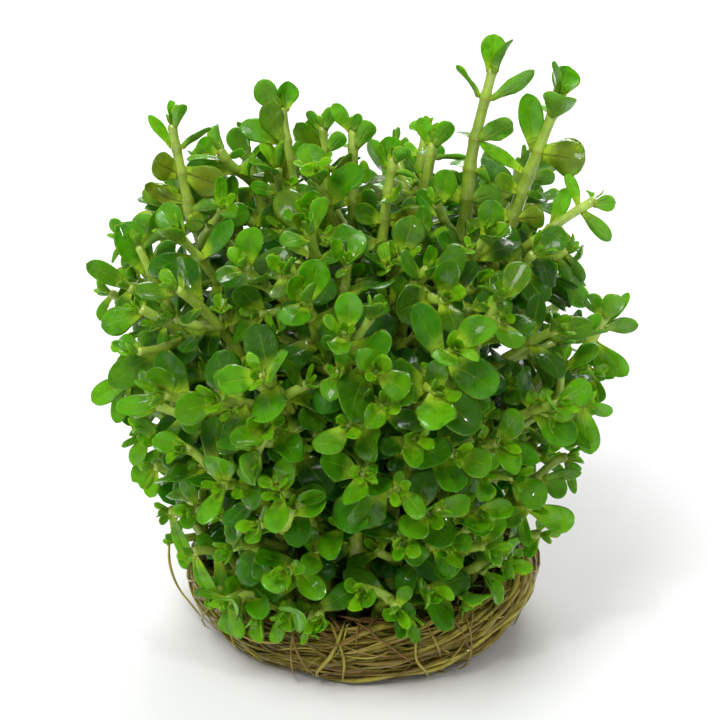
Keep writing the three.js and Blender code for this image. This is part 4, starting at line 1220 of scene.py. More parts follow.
def draw_stem(plant, limb):
    curve = limb["curve"]
    below = INTO_NEST if limb["number"] == 0 else INTO_PARENT
    joints = np.array([pair["ring"]["s"] for pair in limb["pairs"]])
    ends = limb.get("ends", curve.total)
    at = [np.linspace(0, ends, max(4, int(ends / STEM_STEP)))]
    at += [joints + off for off in JOINT_RINGS]
    at += [ends - np.array(ROUNDED["rings"])]
    at = np.unique(np.round(np.concatenate(at), 2))
    at = at[(at >= 0) & (at <= ends)]
    path = np.concatenate([curve.point([0]) - curve.tangent([0]) * below, curve.point(at)])
    at = np.concatenate([[0], at])
    gap = np.abs(at[:, None] - joints[None])
    swell = SWELLING["joint"] * np.exp(-((gap / SWELLING["over"]) ** 2)).sum(1)
    ridge = np.exp(-(((gap + 0.05) / SWELLING["collar_over"]) ** 2)).sum(1)
    flare = FLARE["size"] * np.exp(-at / FLARE["over"]) if limb["number"] else 0
    radii = taper(curve, limb["foot"], at) * FULLNESS * (1 + swell + SWELLING["collar"] * ridge + flare)
    to_end = np.clip((ends - at) / ROUNDED["over"], 0, 1)
    radii *= ROUNDED["end"] + (1 - ROUNDED["end"]) * np.sqrt(to_end)
    youth = np.exp(-(curve.total - at) / YOUNG_OVER)
    olive = np.clip(0.5 - path[:, 2] / 90 + 0.5 * (plant["tone"] - 0.4), 0, 1) * (1 - youth)
    trait = np.column_stack([np.full(len(at), plant["tone"]), youth, 0 * at, olive])
    lay = np.column_stack([at / curve.total, 0 * at, np.minimum(1, ridge), 0 * at])
    seed = plant["number"] + limb["number"] * 0.31
    tube(plant["tissue"], path, radii, STEM_SECTION, trait, lay, seed, limb["rings"][0]["u"])


for plant, limb in packed_limbs:
    draw_stem(plant, limb)

# Leaves, in opposite pairs, each turned a quarter from the next: fleshy, spoon-shaped blades, 0.1 to 0.4 mm
# thick, that narrow to a short pale base. Young ones stand up, old ones spread and bend back. Each grows out
# of its joint.

LEAF = {  # from the youngest pair down: mm long, width as a share of that, degrees off the stem, and bend
    "length": [3.8, 5.8, 7.2, 7.7, 7.7],
    "slimness": 0.8,
    "incline": [30, 48, 58, 66, 72],
    "curl": [-0.2, 0.2, 0.4, 0.5, 0.55],
}
OLD_INCLINE = 82
LEAST_CURL = 0.02  # a straight blade would have no arc to lie on
LOOSE = {"turn": 8, "tilt": 7, "size": 0.12, "curl": 0.15}
TRY = {"count": 12, "turn": 7, "tilt": 3, "full_size": 3, "shrink": 0.07}
BROAD = 0.52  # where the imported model's leaves are broadest, as a share of their length


def turned_about(vector, axis, degrees):
    c, s = math.cos(degrees * DEGREE), math.sin(degrees * DEGREE)
    return vector * c + np.cross(axis, vector) * s + axis * axis.dot(vector) * (1 - c)


def bent(curl):
    return curl if abs(curl) > LEAST_CURL else LEAST_CURL


def leaf_form(ring, face, age, keys, attempt, size, incline=None, length=None, curl=None):
    """Where a leaf goes: its base, the way it points, and its size."""
    step = min(age, len(LEAF["length"]) - 1)
    turn = vary(LOOSE["turn"] + TRY["turn"] * attempt, *keys, attempt)
    out = turned_about(face_normal(ring, face), ring["tangent"], turn)
    tilt = incline or LEAF["incline"][step]
    tilt += vary(LOOSE["tilt"] + TRY["tilt"] * attempt, *keys, attempt + 20)
    shrink = 1 - TRY["shrink"] * max(0, attempt - TRY["full_size"])
    length = (length or LEAF["length"][step]) * size * shrink * (1 + vary(LOOSE["size"], *keys, 40))
    width = length * LEAF["slimness"] * (1 + vary(LOOSE["size"], *keys, 41))
    curl = (LEAF["curl"][step] if curl is None else curl) + vary(LOOSE["curl"], *keys, 42)
    points = ring["tangent"] * math.cos(tilt * DEGREE) + out * math.sin(tilt * DEGREE)
    left = np.cross(out, ring["tangent"])
    return {
        "base": ring["centre"] + face_normal(ring, face) * ring["half"],
        "points": points,
        "left": left,
        "above": np.cross(left, points),
        "length": length,
        "width": width,
        "curl": bent(curl),
    }


def rolled_about(form, degrees):
    """The same leaf, turned about its own midrib."""
    left = turned_about(form["left"], form["points"], degrees)
    return {**form, "left": left, "above": np.cross(left, form["points"])}


# The leaves of the clump's front half turn their blades up and to the front
LIGHT_SIDE = np.array([0, -0.6, 0.8])
TURNS = {"share": 0.5, "most": 42, "fades": (4, 14)}  # mm behind the middle


def turned_to_light(form):
    """The same leaf, turned part of the way to the light about its own midrib."""
    facing = LIGHT_SIDE - form["points"] * form["points"].dot(LIGHT_SIDE)
    off = math.atan2(np.cross(form["above"], facing).dot(form["points"]), form["above"].dot(facing)) / DEGREE
    in_front = np.interp(form["base"][1], TURNS["fades"], [1, 0])
    return rolled_about(form, float(np.clip(off * TURNS["share"], -TURNS["most"], TURNS["most"]) * in_front))


HANGS = {"below": 27, "over": 11, "bend": 0.85, "slimmer": 0.3}  # heights in mm


def hung_down(form, keys):
    """The same leaf, bent down further and slimmer the lower it stands on the clump."""
    low = float(np.clip((HANGS["below"] - form["base"][2]) / HANGS["over"], 0, 1))
    curl = form["curl"] + HANGS["bend"] * low * chance(*keys, 66)
    width = form["width"] * (1 - HANGS["slimmer"] * low * chance(*keys, 67))
    return {**form, "curl": bent(curl), "width": width}


def on_blade(form, along_leaf, aside, rise=0.0):
    """Points of a blade that leaves its base at a slant and bends back on an arc: the share of its length
    along it, and how far aside and how far over it, in mm."""
    bend = form["curl"] * along_leaf
    ahead = form["length"] * np.sin(bend) / form["curl"] + rise * np.sin(bend)
    down = form["length"] * (1 - np.cos(bend)) / form["curl"] - rise * np.cos(bend)
    parts = ((ahead, form["points"]), (-down, form["above"]), (aside, form["left"]))
    return form["base"] + sum(np.asarray(amount)[..., None] * way for amount, way in parts)


# Places on every leaf and stem that stands, in groups near to each other, for keeping new leaves clear
PROBE_ALONG, PROBE_ASIDE = np.meshgrid([0.25, 0.42, 0.6, 0.78, 0.95], [-0.75, 0, 0.75])
PROBE_ASIDE = PROBE_ASIDE * np.interp(PROBE_ALONG, [0.25, 0.45, 0.8, 0.95], [0.5, 1, 1, 0.6])
NEAR = 10.0  # mm: groups whose middles are further apart than this can't touch
CLEAR = 0.8  # mm between the probes of two leaves
BY_STEM = 3  # the first probes, on one side of a leaf's base, which may lie by a stem
OUTER = 8  # the first of the probes that count for a tiny leaf
MOST_GROUPS, FAR_OFF = 9000, 1e3
crowd_middles, crowd_probes = np.full((MOST_GROUPS, 3), FAR_OFF), []


def probes_of(form):
    return on_blade(form, PROBE_ALONG.ravel(), PROBE_ASIDE.ravel() * form["width"] / 2)


def settle(probes):
    crowd_middles[len(crowd_probes)] = probes.mean(axis=0)
    crowd_probes.append(probes)


def room_for(probes, clear=CLEAR):
    near = norm(crowd_middles[: len(crowd_probes)] - probes.mean(axis=0), axis=1) < NEAR
    for k in np.flatnonzero(near):
        if norm(crowd_probes[k][:, None] - probes[None], axis=2).min() < clear:
            return False
    return True


# Leaves may stand out past the outline by a share of their slack, but low down the clump is drawn in
SLACK_AT = [(8, -1.0), (17, -0.6), (30, 1.0)]  # height, share
LEFT_SIDE = [(5, -22.6), (10, -23.0), (14, -24.4), (20, -27.5), (26, -40)]  # height, x of its end there
NEST = {"top": 9.0, "reach": 24.6, "bed_top": 5.4, "bed_reach": 17}
OFF_GROUND = 1  # mm


def inside_clump(probes, slack):
    """Whether a leaf stays within the clump's outline and off the root nest."""
    reach, height = np.hypot(probes[:, 0], probes[:, 1]), probes[:, 2]
    over_wall = (height < NEST["bed_top"]) | (reach > NEST["bed_reach"])
    in_nest = (height < NEST["top"]) & (reach < NEST["reach"]) & over_wall
    in_outline = reach < along(OUTLINE, height) + slack * along(SLACK_AT, height)
    in_outline &= probes[:, 0] > along(LEFT_SIDE, height)
    return bool(in_outline.all() and not in_nest.any() and height.min() > OFF_GROUND)


# Over the front and right of the rim the nest lies bare: leaves there are small and turn up
BARE_RIM = {"from": 256, "to": 352, "below": 13.0, "past": 17, "size": 0.72, "curl": -0.7}


def over_bare_rim(points):
    """Whether any of the points hangs in front of the bare part of the rim."""
    bearing = np.arctan2(points[:, 1], points[:, 0]) / DEGREE % 360
    reach = np.hypot(points[:, 0], points[:, 1])
    bare = (bearing > BARE_RIM["from"]) & (bearing < BARE_RIM["to"]) & (points[:, 2] < BARE_RIM["below"])
    return bool((bare & (reach > BARE_RIM["past"])).any())


def look_of(plant, keys, age):
    """What sets one leaf apart: some are folded, some rolled, some nod at the tip, and some are slim."""
    young = max(0.0, 1 - age / 3)
    habit = chance(*keys, 60)
    folded, rolled = habit < 0.12, 0.12 <= habit < 0.30
    nodding, slim = 0.30 <= habit < 0.45, 0.45 <= habit < 0.64
    return {
        "cup": 0.14 * young + vary(0.26, *keys, 51) - 0.05 * min(age, 4),
        "fold": 0.5 + 0.45 * chance(*keys, 52) if folded else 0.30 * chance(*keys, 52) ** 2,
        "wave": (0.45 if rolled else 0.22) * chance(*keys, 53),
        "phase": 6.3 * chance(*keys, 54),
        "twist": vary(0.9 if rolled else 0.4, *keys, 55),
        "nod": 0.4 + 0.5 * chance(*keys, 61) if nodding else vary(0.18, *keys, 61),
        "sway": vary(0.14, *keys, 56),
        "slender": (0.5 if slim else 0.76) + 0.26 * chance(*keys, 57),
        "neck": 0.27 + 0.10 * young + 0.06 * chance(*keys, 62),
        "reach": 0.88 + 0.12 * chance(*keys, 63),
        "tone": np.clip(0.45 * plant["tone"] + 0.55 * chance(*keys, 58), 0, 1),
        "youth": math.exp(-age / 1.6),
        "seed": chance(*keys, 59),
        "olive": 0.0,
    }


DRAWN_IN = {"tries": 5, "slack": 0.4, "below": 24, "length": 0.88, "width": 0.93}


def drawn_in(form):
    """The same leaf, shorter where it would stand out too far low on the clump."""
    for _ in range(DRAWN_IN["tries"]):
        tip = on_blade(form, np.array([0.95]), np.array([0.0]))[0]
        limit = along(OUTLINE, tip[2]) + along(SLACK_AT, tip[2]) + DRAWN_IN["slack"]
        within = np.hypot(tip[0], tip[1]) < limit and tip[0] > along(LEFT_SIDE, tip[2])
        if within or tip[2] > DRAWN_IN["below"]:
            break
        form = {**form, **{name: form[name] * DRAWN_IN[name] for name in ("length", "width")}}
    return form


HABITS = {
    "bright": {"tone": 0.92},
    "dark": {"tone": 0.08},
    "olive": {"olive": 0.9},
    "tinged": {"olive": 0.45},
    "cupped": {"cup": 0.5, "curl": -0.8},
    "upturned": {"curl": -0.7},
    "folded": {"fold": 0.8},
    "wavy": {"wave": 0.4, "twist": 0.5},
}
AS_SEEN = {"fold": 0.1, "wave": 0.1, "nod": 0.05, "sway": 0.0, "slender": 1.0, "reach": 1.0, "curl": 0.22}
PHOTO_SIDE = np.array([0, -0.92, 0.39])  # the side that the photograph was taken from


def skyline_leaf(plant, ring, seen, keys):
    """One leaf as the photograph shows it: its form, and its look."""
    *tip, width, roll = seen[:5]
    look = look_of(plant, keys, 1)
    look.update(AS_SEEN, twist=vary(0.15, *keys, 64))
    for habit in " ".join(seen[5:]).split():
        look.update(HABITS[habit])
    chord = norm(tip)
    ahead = np.array(tip) / chord
    inner = ring["tangent"] - ahead * ahead.dot(ring["tangent"])
    above = turned_about(square_to(PHOTO_SIDE, ahead), ahead, roll)
    above = above if above.dot(inner) > 0 else -above
    half_curl = look["curl"] / 2
    points = ahead * math.cos(half_curl) + above * math.sin(half_curl)
    above = above * math.cos(half_curl) - ahead * math.sin(half_curl)
    out = square_to(ahead, ring["tangent"])
    form = {
        "base": ring["centre"] + out * ring["half"],
        "points": points,
        "left": np.cross(points, above),
        "above": above,
        "length": chord * half_curl / math.sin(half_curl),
        "width": width,
        "curl": look["curl"],
    }
    return form, look


UPTURN = [0.4, 0.32, 0.18, 0.05, 0]  # how far young leaves cup over the bud


def packed_leaf(plant, pair, face, keys):
    """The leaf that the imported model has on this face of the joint, or None where it has none."""
    for attempt in range(TRY["count"]):
        form = leaf_form(pair["ring"], face, pair["age"], keys, attempt, plant["size"])
        sides = on_blade(form, np.array([BROAD, BROAD]), np.array([0.5, -0.5]) * form["width"])
        if fits(sides, plant["corners"]):
            break
    else:
        return None
    form["curl"] -= UPTURN[pair["age"]] * (0.6 + 0.8 * chance(*keys, 65))
    if over_bare_rim(probes_of(form)):
        smaller = {name: form[name] * BARE_RIM["size"] for name in ("length", "width")}
        form = {**form, **smaller, "curl": BARE_RIM["curl"]}
    else:
        form = hung_down(form, keys)
    form["curl"] = bent(form["curl"])
    return drawn_in(turned_to_light(form))


def faces_of(pair):
    """The two opposite faces of the stem on which a pair of leaves stands."""
    return pair["age"] % 2, pair["age"] % 2 + 2


def keys_of(plant, limb, number):
    return plant["number"], limb["number"], number


def keep_leaf(plant, form, look):
    leaves.append((plant, form, look))
    settle(probes_of(form))


leaves = []  # those that stand on the stems
STEM_GROUP = 6  # places on a stem that are held together
for plant, limb in packed_limbs:
    stem_probes = limb["curve"].point(np.arange(0.5, limb["curve"].total, 1.2))
    for k in range(0, len(stem_probes), STEM_GROUP):
        settle(stem_probes[k : k + STEM_GROUP])
missing = []
for plant, limb in packed_limbs:
    for pair in [pair for pair in limb["pairs"] if pair["packed"]]:
        age = pair["age"]
        if "seen" in pair:
            for k, seen in enumerate(pair["seen"]):
                keys = keys_of(plant, limb, 40 * age + k)
                keep_leaf(plant, *skyline_leaf(plant, pair["ring"], seen, keys))
            continue
        for face in faces_of(pair):
            keys = keys_of(plant, limb, age * 4 + face)
            form = packed_leaf(plant, pair, face, keys)
            if form:
                keep_leaf(plant, form, look_of(plant, keys, age))
            else:
                missing.append((plant, limb, pair, face))

# Older leaves further down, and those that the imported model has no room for, wherever one fits
EXTRA_TRIES = 9
older = [
    (plant, limb, pair, face)
    for plant, limb in packed_limbs
    for pair in limb["pairs"]
    if not pair["packed"]
    for face in faces_of(pair)
]
for plant, limb, pair, face in missing + older:
    age = pair["age"]
    keys = keys_of(plant, limb, 400 + age * 4 + face)
    incline = None if pair["packed"] else OLD_INCLINE
    for attempt in range(EXTRA_TRIES):
        shrunk = plant["size"] * (0.98 - 0.05 * attempt) * (0.74 + 0.3 * chance(*keys, 44))
        form = turned_to_light(leaf_form(pair["ring"], face, age, keys, attempt, shrunk, incline))
        form = hung_down(rolled_about(form, vary(38, *keys, 45)), keys)
        probes = probes_of(form)
        if inside_clump(probes, 1.5) and not over_bare_rim(probes) and room_for(probes[BY_STEM:]):
            keep_leaf(plant, form, look_of(plant, keys, age))
            break

LEAF_BROAD = 0.63  # where a drawn leaf is broadest, as a share of its length
LEAF_THICK = {"middle": 0.30, "edge": 0.09, "base": 0.5}  # mm, and what the base adds
GRIDS = {"fine": (10, 6), "plain": (7, 4), "small": (5, 4)}  # rows along a leaf, and columns across it
leaf_grids = {}
for label, (rows, columns) in GRIDS.items():
    half = rows // 2
    down = np.linspace(0, 1, half + 1)[:-1]
    angle = np.linspace(0, math.radians(80), rows - half + 1)
    v = np.linspace(-1, 1, columns + 1)
    v = np.sin(v * math.pi / 2 * 0.9) / math.sin(math.pi / 2 * 0.9)
    to_broad = np.concatenate([down, np.ones(len(angle))])
    end_angle = np.concatenate([np.zeros(len(down)), angle])
    top = np.arange((rows + 1) * (columns + 1)).reshape(rows + 1, columns + 1)
    under = top.copy()
    under[1:-1, 1:-1] = top.size + np.arange((rows - 1) * (columns - 1)).reshape(rows - 1, columns - 1)
    quads = [
        np.column_stack([g[:-1, :-1].ravel(), g[:-1, 1:].ravel(), g[1:, 1:].ravel(), g[1:, :-1].ravel()])
        for g in (top, under)
    ]
    quads = np.concatenate([quads[0], quads[1][:, ::-1]])
    leaf_grids[label] = (to_broad, end_angle, v[None], quads)


def draw_leaf(plant, form, look, grid):
    """Adds a closed blade: an upper and a lower skin, which meet all round the edge."""
    to_broad, end_angle, v, quads = leaf_grids[grid]
    neck = look["neck"]
    plump = 1 - v**2
    widen = np.sin(to_broad**1.25 * math.pi / 2) ** 1.3
    width = np.where(end_angle > 0, np.cos(end_angle) ** 0.9, neck + (1 - neck) * widen)
    u = np.where(end_angle > 0, LEAF_BROAD + (0.985 - LEAF_BROAD) * np.sin(end_angle), to_broad * LEAF_BROAD)
    u = u * 1.04 - 0.04
    rounding = (end_angle / end_angle[-1]) ** 3 * (1 - u[-1])
    u = (u[:, None] + rounding[:, None] * plump) * look["reach"]
    half = width[:, None] * form["width"] / 2 * look["slender"]
    x = half * v
    cupped = look["cup"] * half * v**2
    rise = cupped + look["fold"] * half * np.abs(v) * (1 - 0.85 * np.clip(u, 0, 1) ** 2)
    rise = rise + look["wave"] * half * np.abs(v) ** 2 * np.sin(8.5 * u + look["phase"] + 2 * v)
    rise = rise * (0.35 + 0.65 * np.clip(u * 2.2, 0, 1))
    rise = rise - look["nod"] * form["length"] * np.clip(u - 0.4, 0, 1) ** 2
    twist = look["twist"] * u
    aside, rise = x * np.cos(twist) - rise * np.sin(twist), rise * np.cos(twist) + x * np.sin(twist)
    aside = aside + form["length"] * look["sway"] * u**2
    groove = 0.07 * np.exp(-((x / 0.28) ** 2)) * np.clip(1.1 - u, 0, 1)
    keel = 0.12 * np.exp(-((x / 0.35) ** 2)) * np.clip(1.1 - u, 0, 1)
    thick = LEAF_THICK["edge"] + (LEAF_THICK["middle"] - LEAF_THICK["edge"]) * plump * (1 - 0.5 * u)
    thick = thick + LEAF_THICK["base"] * np.exp(-np.clip(u, 0, 1) / 0.13) * plump
    size = min(1, form["length"] / 5)
    top = on_blade(form, u, aside, rise - groove * size)
    low = on_blade(form, u, aside, rise - (thick + keel) * size)
    points = np.concatenate([top.reshape(-1, 3), low[1:-1, 1:-1].reshape(-1, 3)])

    def both(values):
        values = np.broadcast_to(values, u.shape)
        return np.concatenate([values.ravel(), values[1:-1, 1:-1].ravel()])

    tops, lows = u.size, u[1:-1, 1:-1].size
    under = np.concatenate([np.zeros(tops), np.ones(lows)])
    place = np.column_stack([both(x), both(u * form["length"]), np.full(tops + lows, look["seed"] * 300)])
    rim = np.maximum(np.abs(v) ** 3, np.clip((u - 0.8) / 0.2, 0, 1) ** 2)
    flat = np.ones(tops + lows)
    trait = np.column_stack([look["tone"] * flat, look["youth"] * flat, under, look["olive"] * flat])
    lay = np.column_stack([both(u), both(np.abs(x)), both(rim), look["seed"] * flat])
    plant["tissue"].add(points, place, trait, lay, quads, finish=1)


GREENS = [
    (0.0, (0.004, 0.056, 0.0005)),
    (0.35, (0.010, 0.118, 0.0007)),
    (0.7, (0.033, 0.222, 0.0011)),
    (1.0, (0.112, 0.385, 0.0025)),
]
leaf_material, tree, skin = material_with("leaf_blade")
place = attribute(tree, "place").outputs["Vector"]
trait = attribute(tree, "trait")
tone, youth, under = split(tree, trait.outputs["Color"])
olive = trait.outputs["Alpha"]
lay = attribute(tree, "lay")
up_leaf, off_midrib, rim = split(tree, lay.outputs["Color"])
colour = ramp(tree, tone, *GREENS)
colour = mix(tree, times(tree, youth, 0.75), colour, (0.19, 0.44, 0.004))
colour = mix(tree, olive, colour, (0.150, 0.180, 0.006))
# The blade is paler and yellower towards its base
pale_base = times(tree, ease(tree, up_leaf, 0.42, 0.05), 0.9)
colour = mix(tree, pale_base, colour, (0.42, 0.62, 0.028))
# Uneven growth
blotches = noise(tree, place, 0.55, 3.0)
colour = mix(tree, ease(tree, blotches, 0.42, 0.72, 0, 0.45), colour, (0.010, 0.085, 0.0008))
# Midrib and side veins
parts = node(tree, "ShaderNodeSeparateXYZ", {0: place}).outputs
wobble = times(tree, noise(tree, place, 0.9, 1.0), 1.1)
run = calc(tree, "MULTIPLY_ADD", off_midrib, -0.75, parts[1])
run = times(tree, calc(tree, "ADD", run, wobble), 5.2)
side_veins = calc(tree, "POWER", calc(tree, "MULTIPLY_ADD", calc(tree, "SINE", run), 0.5, 0.5), 9.0)
side_veins = times(tree, side_veins, ease(tree, off_midrib, 0.1, 0.5, 1.0, 0.45))
midrib = ease(tree, off_midrib, 0.20, 0.02)
veins = calc(tree, "MAXIMUM", times(tree, side_veins, 0.45), midrib)
veins = times(tree, veins, ease(tree, up_leaf, 1.0, 0.5))
colour = mix(tree, times(tree, veins, 0.28), colour, (0.22, 0.40, 0.010))
dark_veins = times(tree, times(tree, veins, olive), 0.8)
colour = mix(tree, dark_veins, colour, (0.06, 0.060, 0.006))
# The underside is duller and greyer
duller = times(tree, under, ease(tree, olive, 0.0, 1.0, 0.6, 0.12))
colour = mix(tree, duller, colour, (0.138, 0.28, 0.034))
# A few small leaves have faded to a pinkish grey, and the very edge of a leaf is a little darker
colour = mix(tree, ease(tree, olive, 1.2, 1.8), colour, (0.40, 0.33, 0.22))
dark_edge = times(tree, calc(tree, "POWER", rim, 3.0), 0.65)
colour = mix(tree, dark_edge, colour, (0.040, 0.075, 0.003))
film = place_group(tree, wet, {"Place": place, "Scale": 0.5, "Dry": 0.44, "Wet": 0.2})
fine = noise(tree, place, 7.0, 3.0, 0.6)
height = calc(tree, "MULTIPLY_ADD", veins, -0.6, times(tree, fine, 0.35))
height = calc(tree, "MULTIPLY_ADD", noise(tree, place, 0.8, 1.0), 2.2, height)
# The fleshy base is puckered across
across = node(tree, "ShaderNodeVectorMath", {0: place, 1: (0.9, 3.4, 0.3)}, operation="MULTIPLY").outputs[0]
puckers = times(tree, noise(tree, across, 1.0, 2.0), ease(tree, up_leaf, 0.34, 0.1, 0, 3.2))
height = calc(tree, "ADD", height, puckers)
finish_skin(tree, skin, colour, height, 0.1, film)
feed(tree, skin.inputs, {
    "Subsurface Weight": 0.45,
    "Subsurface Radius": (0.42, 1.0, 0.05),
    "Subsurface Scale": SOAK,
    "Specular IOR Level": 0.11,
})

# Painted light and shade: leaves are painted lighter low at the front and at the top, and a little darker in
# the middle
LIGHT_AND_SHADE_BY_HEIGHT = [(8, 0.28), (24, 0.14), (36, -0.05), (50, -0.04), (62, 0.22)]  # how much brighter a leaf is at a height
# Painted shade: leaves deep inside the clump are painted darker and lose some of their young yellow
DEEP_SHADE = {"from": 1.5, "over": 6, "top": 60, "darker": 0.48, "older": 0.5}  # leaves deep inside the clump
TOP_LEAVES = {"from": 50, "over": 12, "share": 0.3, "olive": 3}  # some near the clump's top are olive
FADED = {"share": 0.012, "deep": 0.4, "length": 4.5, "above": 16, "olive": 2.0}  # and a few small ones faded
FINE = {"reach": 17, "height": 42}  # mm past which leaves are drawn finely


def show_leaf(plant, form, look):
    """Draws a leaf, finely where it can be seen, with painted light and shade in its tone: lighter or darker
    by height, and darker deep inside the clump. Some are olive where they stood in the light at the top.
    """
    tip = on_blade(form, np.array([0.6]), np.array([0.0]))[0]
    within = (along(OUTLINE, tip[2]) - np.hypot(tip[0], tip[1]) - DEEP_SHADE["from"]) / DEEP_SHADE["over"]
    deep = float(np.clip(min(within, (DEEP_SHADE["top"] - tip[2]) / DEEP_SHADE["over"]), 0, 1))
    # Painted light and shade: the tone is raised or lowered by height and lowered deep inside the clump,
    # where deep leaves also lose some of their young yellow as painted shade
    look["tone"] = float(np.clip(look["tone"] + along(LIGHT_AND_SHADE_BY_HEIGHT, tip[2]) - DEEP_SHADE["darker"] * deep, 0, 1))
    look["youth"] *= 1 - DEEP_SHADE["older"] * deep
    if "curl" not in look:
        high = float(np.clip((tip[2] - TOP_LEAVES["from"]) / TOP_LEAVES["over"], 0, 1))
        olive = max(0, chance(look["seed"] * 91, 60) - (1 - TOP_LEAVES["share"]))
        look["olive"] = high * olive * TOP_LEAVES["olive"]
        small = deep < FADED["deep"] and form["length"] < FADED["length"] and tip[2] > FADED["above"]
        if small and chance(look["seed"] * 77, 61) < FADED["share"]:
            look["olive"] = FADED["olive"]
    outer = np.hypot(tip[0], tip[1]) > FINE["reach"] or tip[2] > FINE["height"]
    draw_leaf(plant, form, look, "fine" if outer else "plain")


for plant, form, look in leaves:
    show_leaf(plant, form, look)

# Twigs, short ones from the axils of older leaves, each with a pair or two of smaller leaves and a bud. They
# fill the clump, and a row of low ones hangs over the front rim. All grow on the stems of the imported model.

TWIG = {"half": 0.44, "share": 0.85, "length": (3.2, 8.0), "shorter": 0.2, "tries": 3, "top": 54.0}
FILLING_TWIG = {"size": 0.74, "clear": 0.7, "tries": 4}
FEWEST_LEAVES = 2
TWIG_PAIRS = {"first": 0.4, "spacing": 2.9, "lowest": 1.3, "oldest": 4}
TWIG_INCLINE = (38, 46, 62, 74, 80)  # degrees off the twig, for its leaves of each age
FIRST_TWIG = 10  # limbs with this number or a higher one are twigs
RISES = {"out": 0.75, "ahead": 0.6, "aside": 0.45, "up": 0.25}


def plan_twig(plant, parent, s, face, end, arrives, softness=0.33):
    """A twig from one face of a stem to its own tip, with the places of its leaf pairs, youngest first."""
    ring = frame_at(parent, s)
    out = face_normal(ring, face)
    start = ring["centre"] + out * ring["half"] * 0.9
    leaves_at = sized(out + ring["tangent"] * STEM["axil_slope"])
    curve = LimbCurve(start, leaves_at, end, sized(arrives), softness)
    first = square_to(ring["tangent"], leaves_at)
    made = {"curve": curve, "rings": [{"s": 0, "u": first}], "foot": TWIG["half"], "pairs": []}
    made["number"] = len(plant["limbs"]) + FIRST_TWIG
    at = curve.total - TWIG_PAIRS["first"]
    for age in range(1, TWIG_PAIRS["oldest"] + 1):
        if at <= TWIG_PAIRS["lowest"]:
            break
        made["pairs"].append({"ring": frame_at(made, at), "age": age, "packed": False})
        at -= TWIG_PAIRS["spacing"] + 0.4 * age + vary(0.5, plant["number"], made["number"], age, 92)
    return made


def leaf_twig(plant, limb, size, allowed, clear, tries):
    """The leaves that a twig has room for, smaller ones where it is tight."""
    grown = []
    for pair in limb["pairs"]:
        age = pair["age"]
        for face in faces_of(pair):
            keys = keys_of(plant, limb, 1300 + age * 4 + face)
            for attempt in range(tries):
                shrunk = size * (1.08 - 0.1 * attempt) * (0.82 + 0.36 * chance(*keys, 44))
                form = leaf_form(pair["ring"], face, age, keys, attempt, shrunk, TWIG_INCLINE[age])
                form = hung_down(rolled_about(turned_to_light(form), vary(34, *keys, 45)), keys)
                probes = probes_of(form)
                if allowed(probes) and room_for(probes[BY_STEM:], clear):
                    grown.append((form, look_of(plant, keys, age)))
                    break
    return grown


def keep_twig(plant, limb, grown):
    plant["limbs"].append(limb)
    draw_stem(plant, limb)
    settle(limb["curve"].point(np.arange(0.8, limb["curve"].total, 1.2)))
    for form, look in grown:
        settle(probes_of(form))
        show_leaf(plant, form, look)


# The row that hangs over the front rim: bearing, height and reach of the tip, and its lean
HANGING = [
    (221, 10.8, 24.4, 136),
    (231, 11.4, 24.3, 126),
    (239, 10.4, 24.5, 136),
    (248, 11.6, 23.8, 122),
    (256, 10.6, 24.5, 134),
    (286, 11.4, 24.0, 120),
    (305, 12.2, 23.8, 122),
    (317, 13.6, 22.6, 112),
    (331, 14.2, 21.8, 106),
]
HANG = {"past": 24.0, "over": 9.4, "reach": 28.5}  # outside the nest's wall or over it, and near it
HANGING_TWIG = {"size": 0.9, "clear": 0.6, "tries": 5}
LOW_JOINT = 2.4  # mm up its stem from which a hanging twig grows


def clear_of_nest(probes):
    """Whether a hanging leaf stays outside the nest's wall and near it."""
    reach, height = np.hypot(probes[:, 0] - NEST_ASIDE, probes[:, 1]), probes[:, 2]
    clear = ((reach > HANG["past"]) | (height > HANG["over"])) & (height > OFF_GROUND)
    near = (reach < HANG["reach"]) & (probes[:, 0] > along(LEFT_SIDE, height))
    return bool((clear & near).all())


def foot_distance(plant, spot):
    return norm(plant["limbs"][0]["curve"].point(LOW_JOINT)[0] - spot)


for place in HANGING:
    tip = tip_of(place)
    parent = min(plants, key=lambda plant: foot_distance(plant, tip["at"]))
    main = parent["limbs"][0]
    ring = frame_at(main, LOW_JOINT)
    face = max(range(4), key=lambda k: face_normal(ring, k).dot(tip["at"] - ring["centre"]))
    limb = plan_twig(parent, main, LOW_JOINT, face, tip["at"], tip["points"], softness=0.42)
    keep_twig(parent, limb, leaf_twig(parent, limb, allowed=clear_of_nest, **HANGING_TWIG))


def may_hold_leaf(probes):
    return inside_clump(probes, 1.5) and not over_bare_rim(probes)


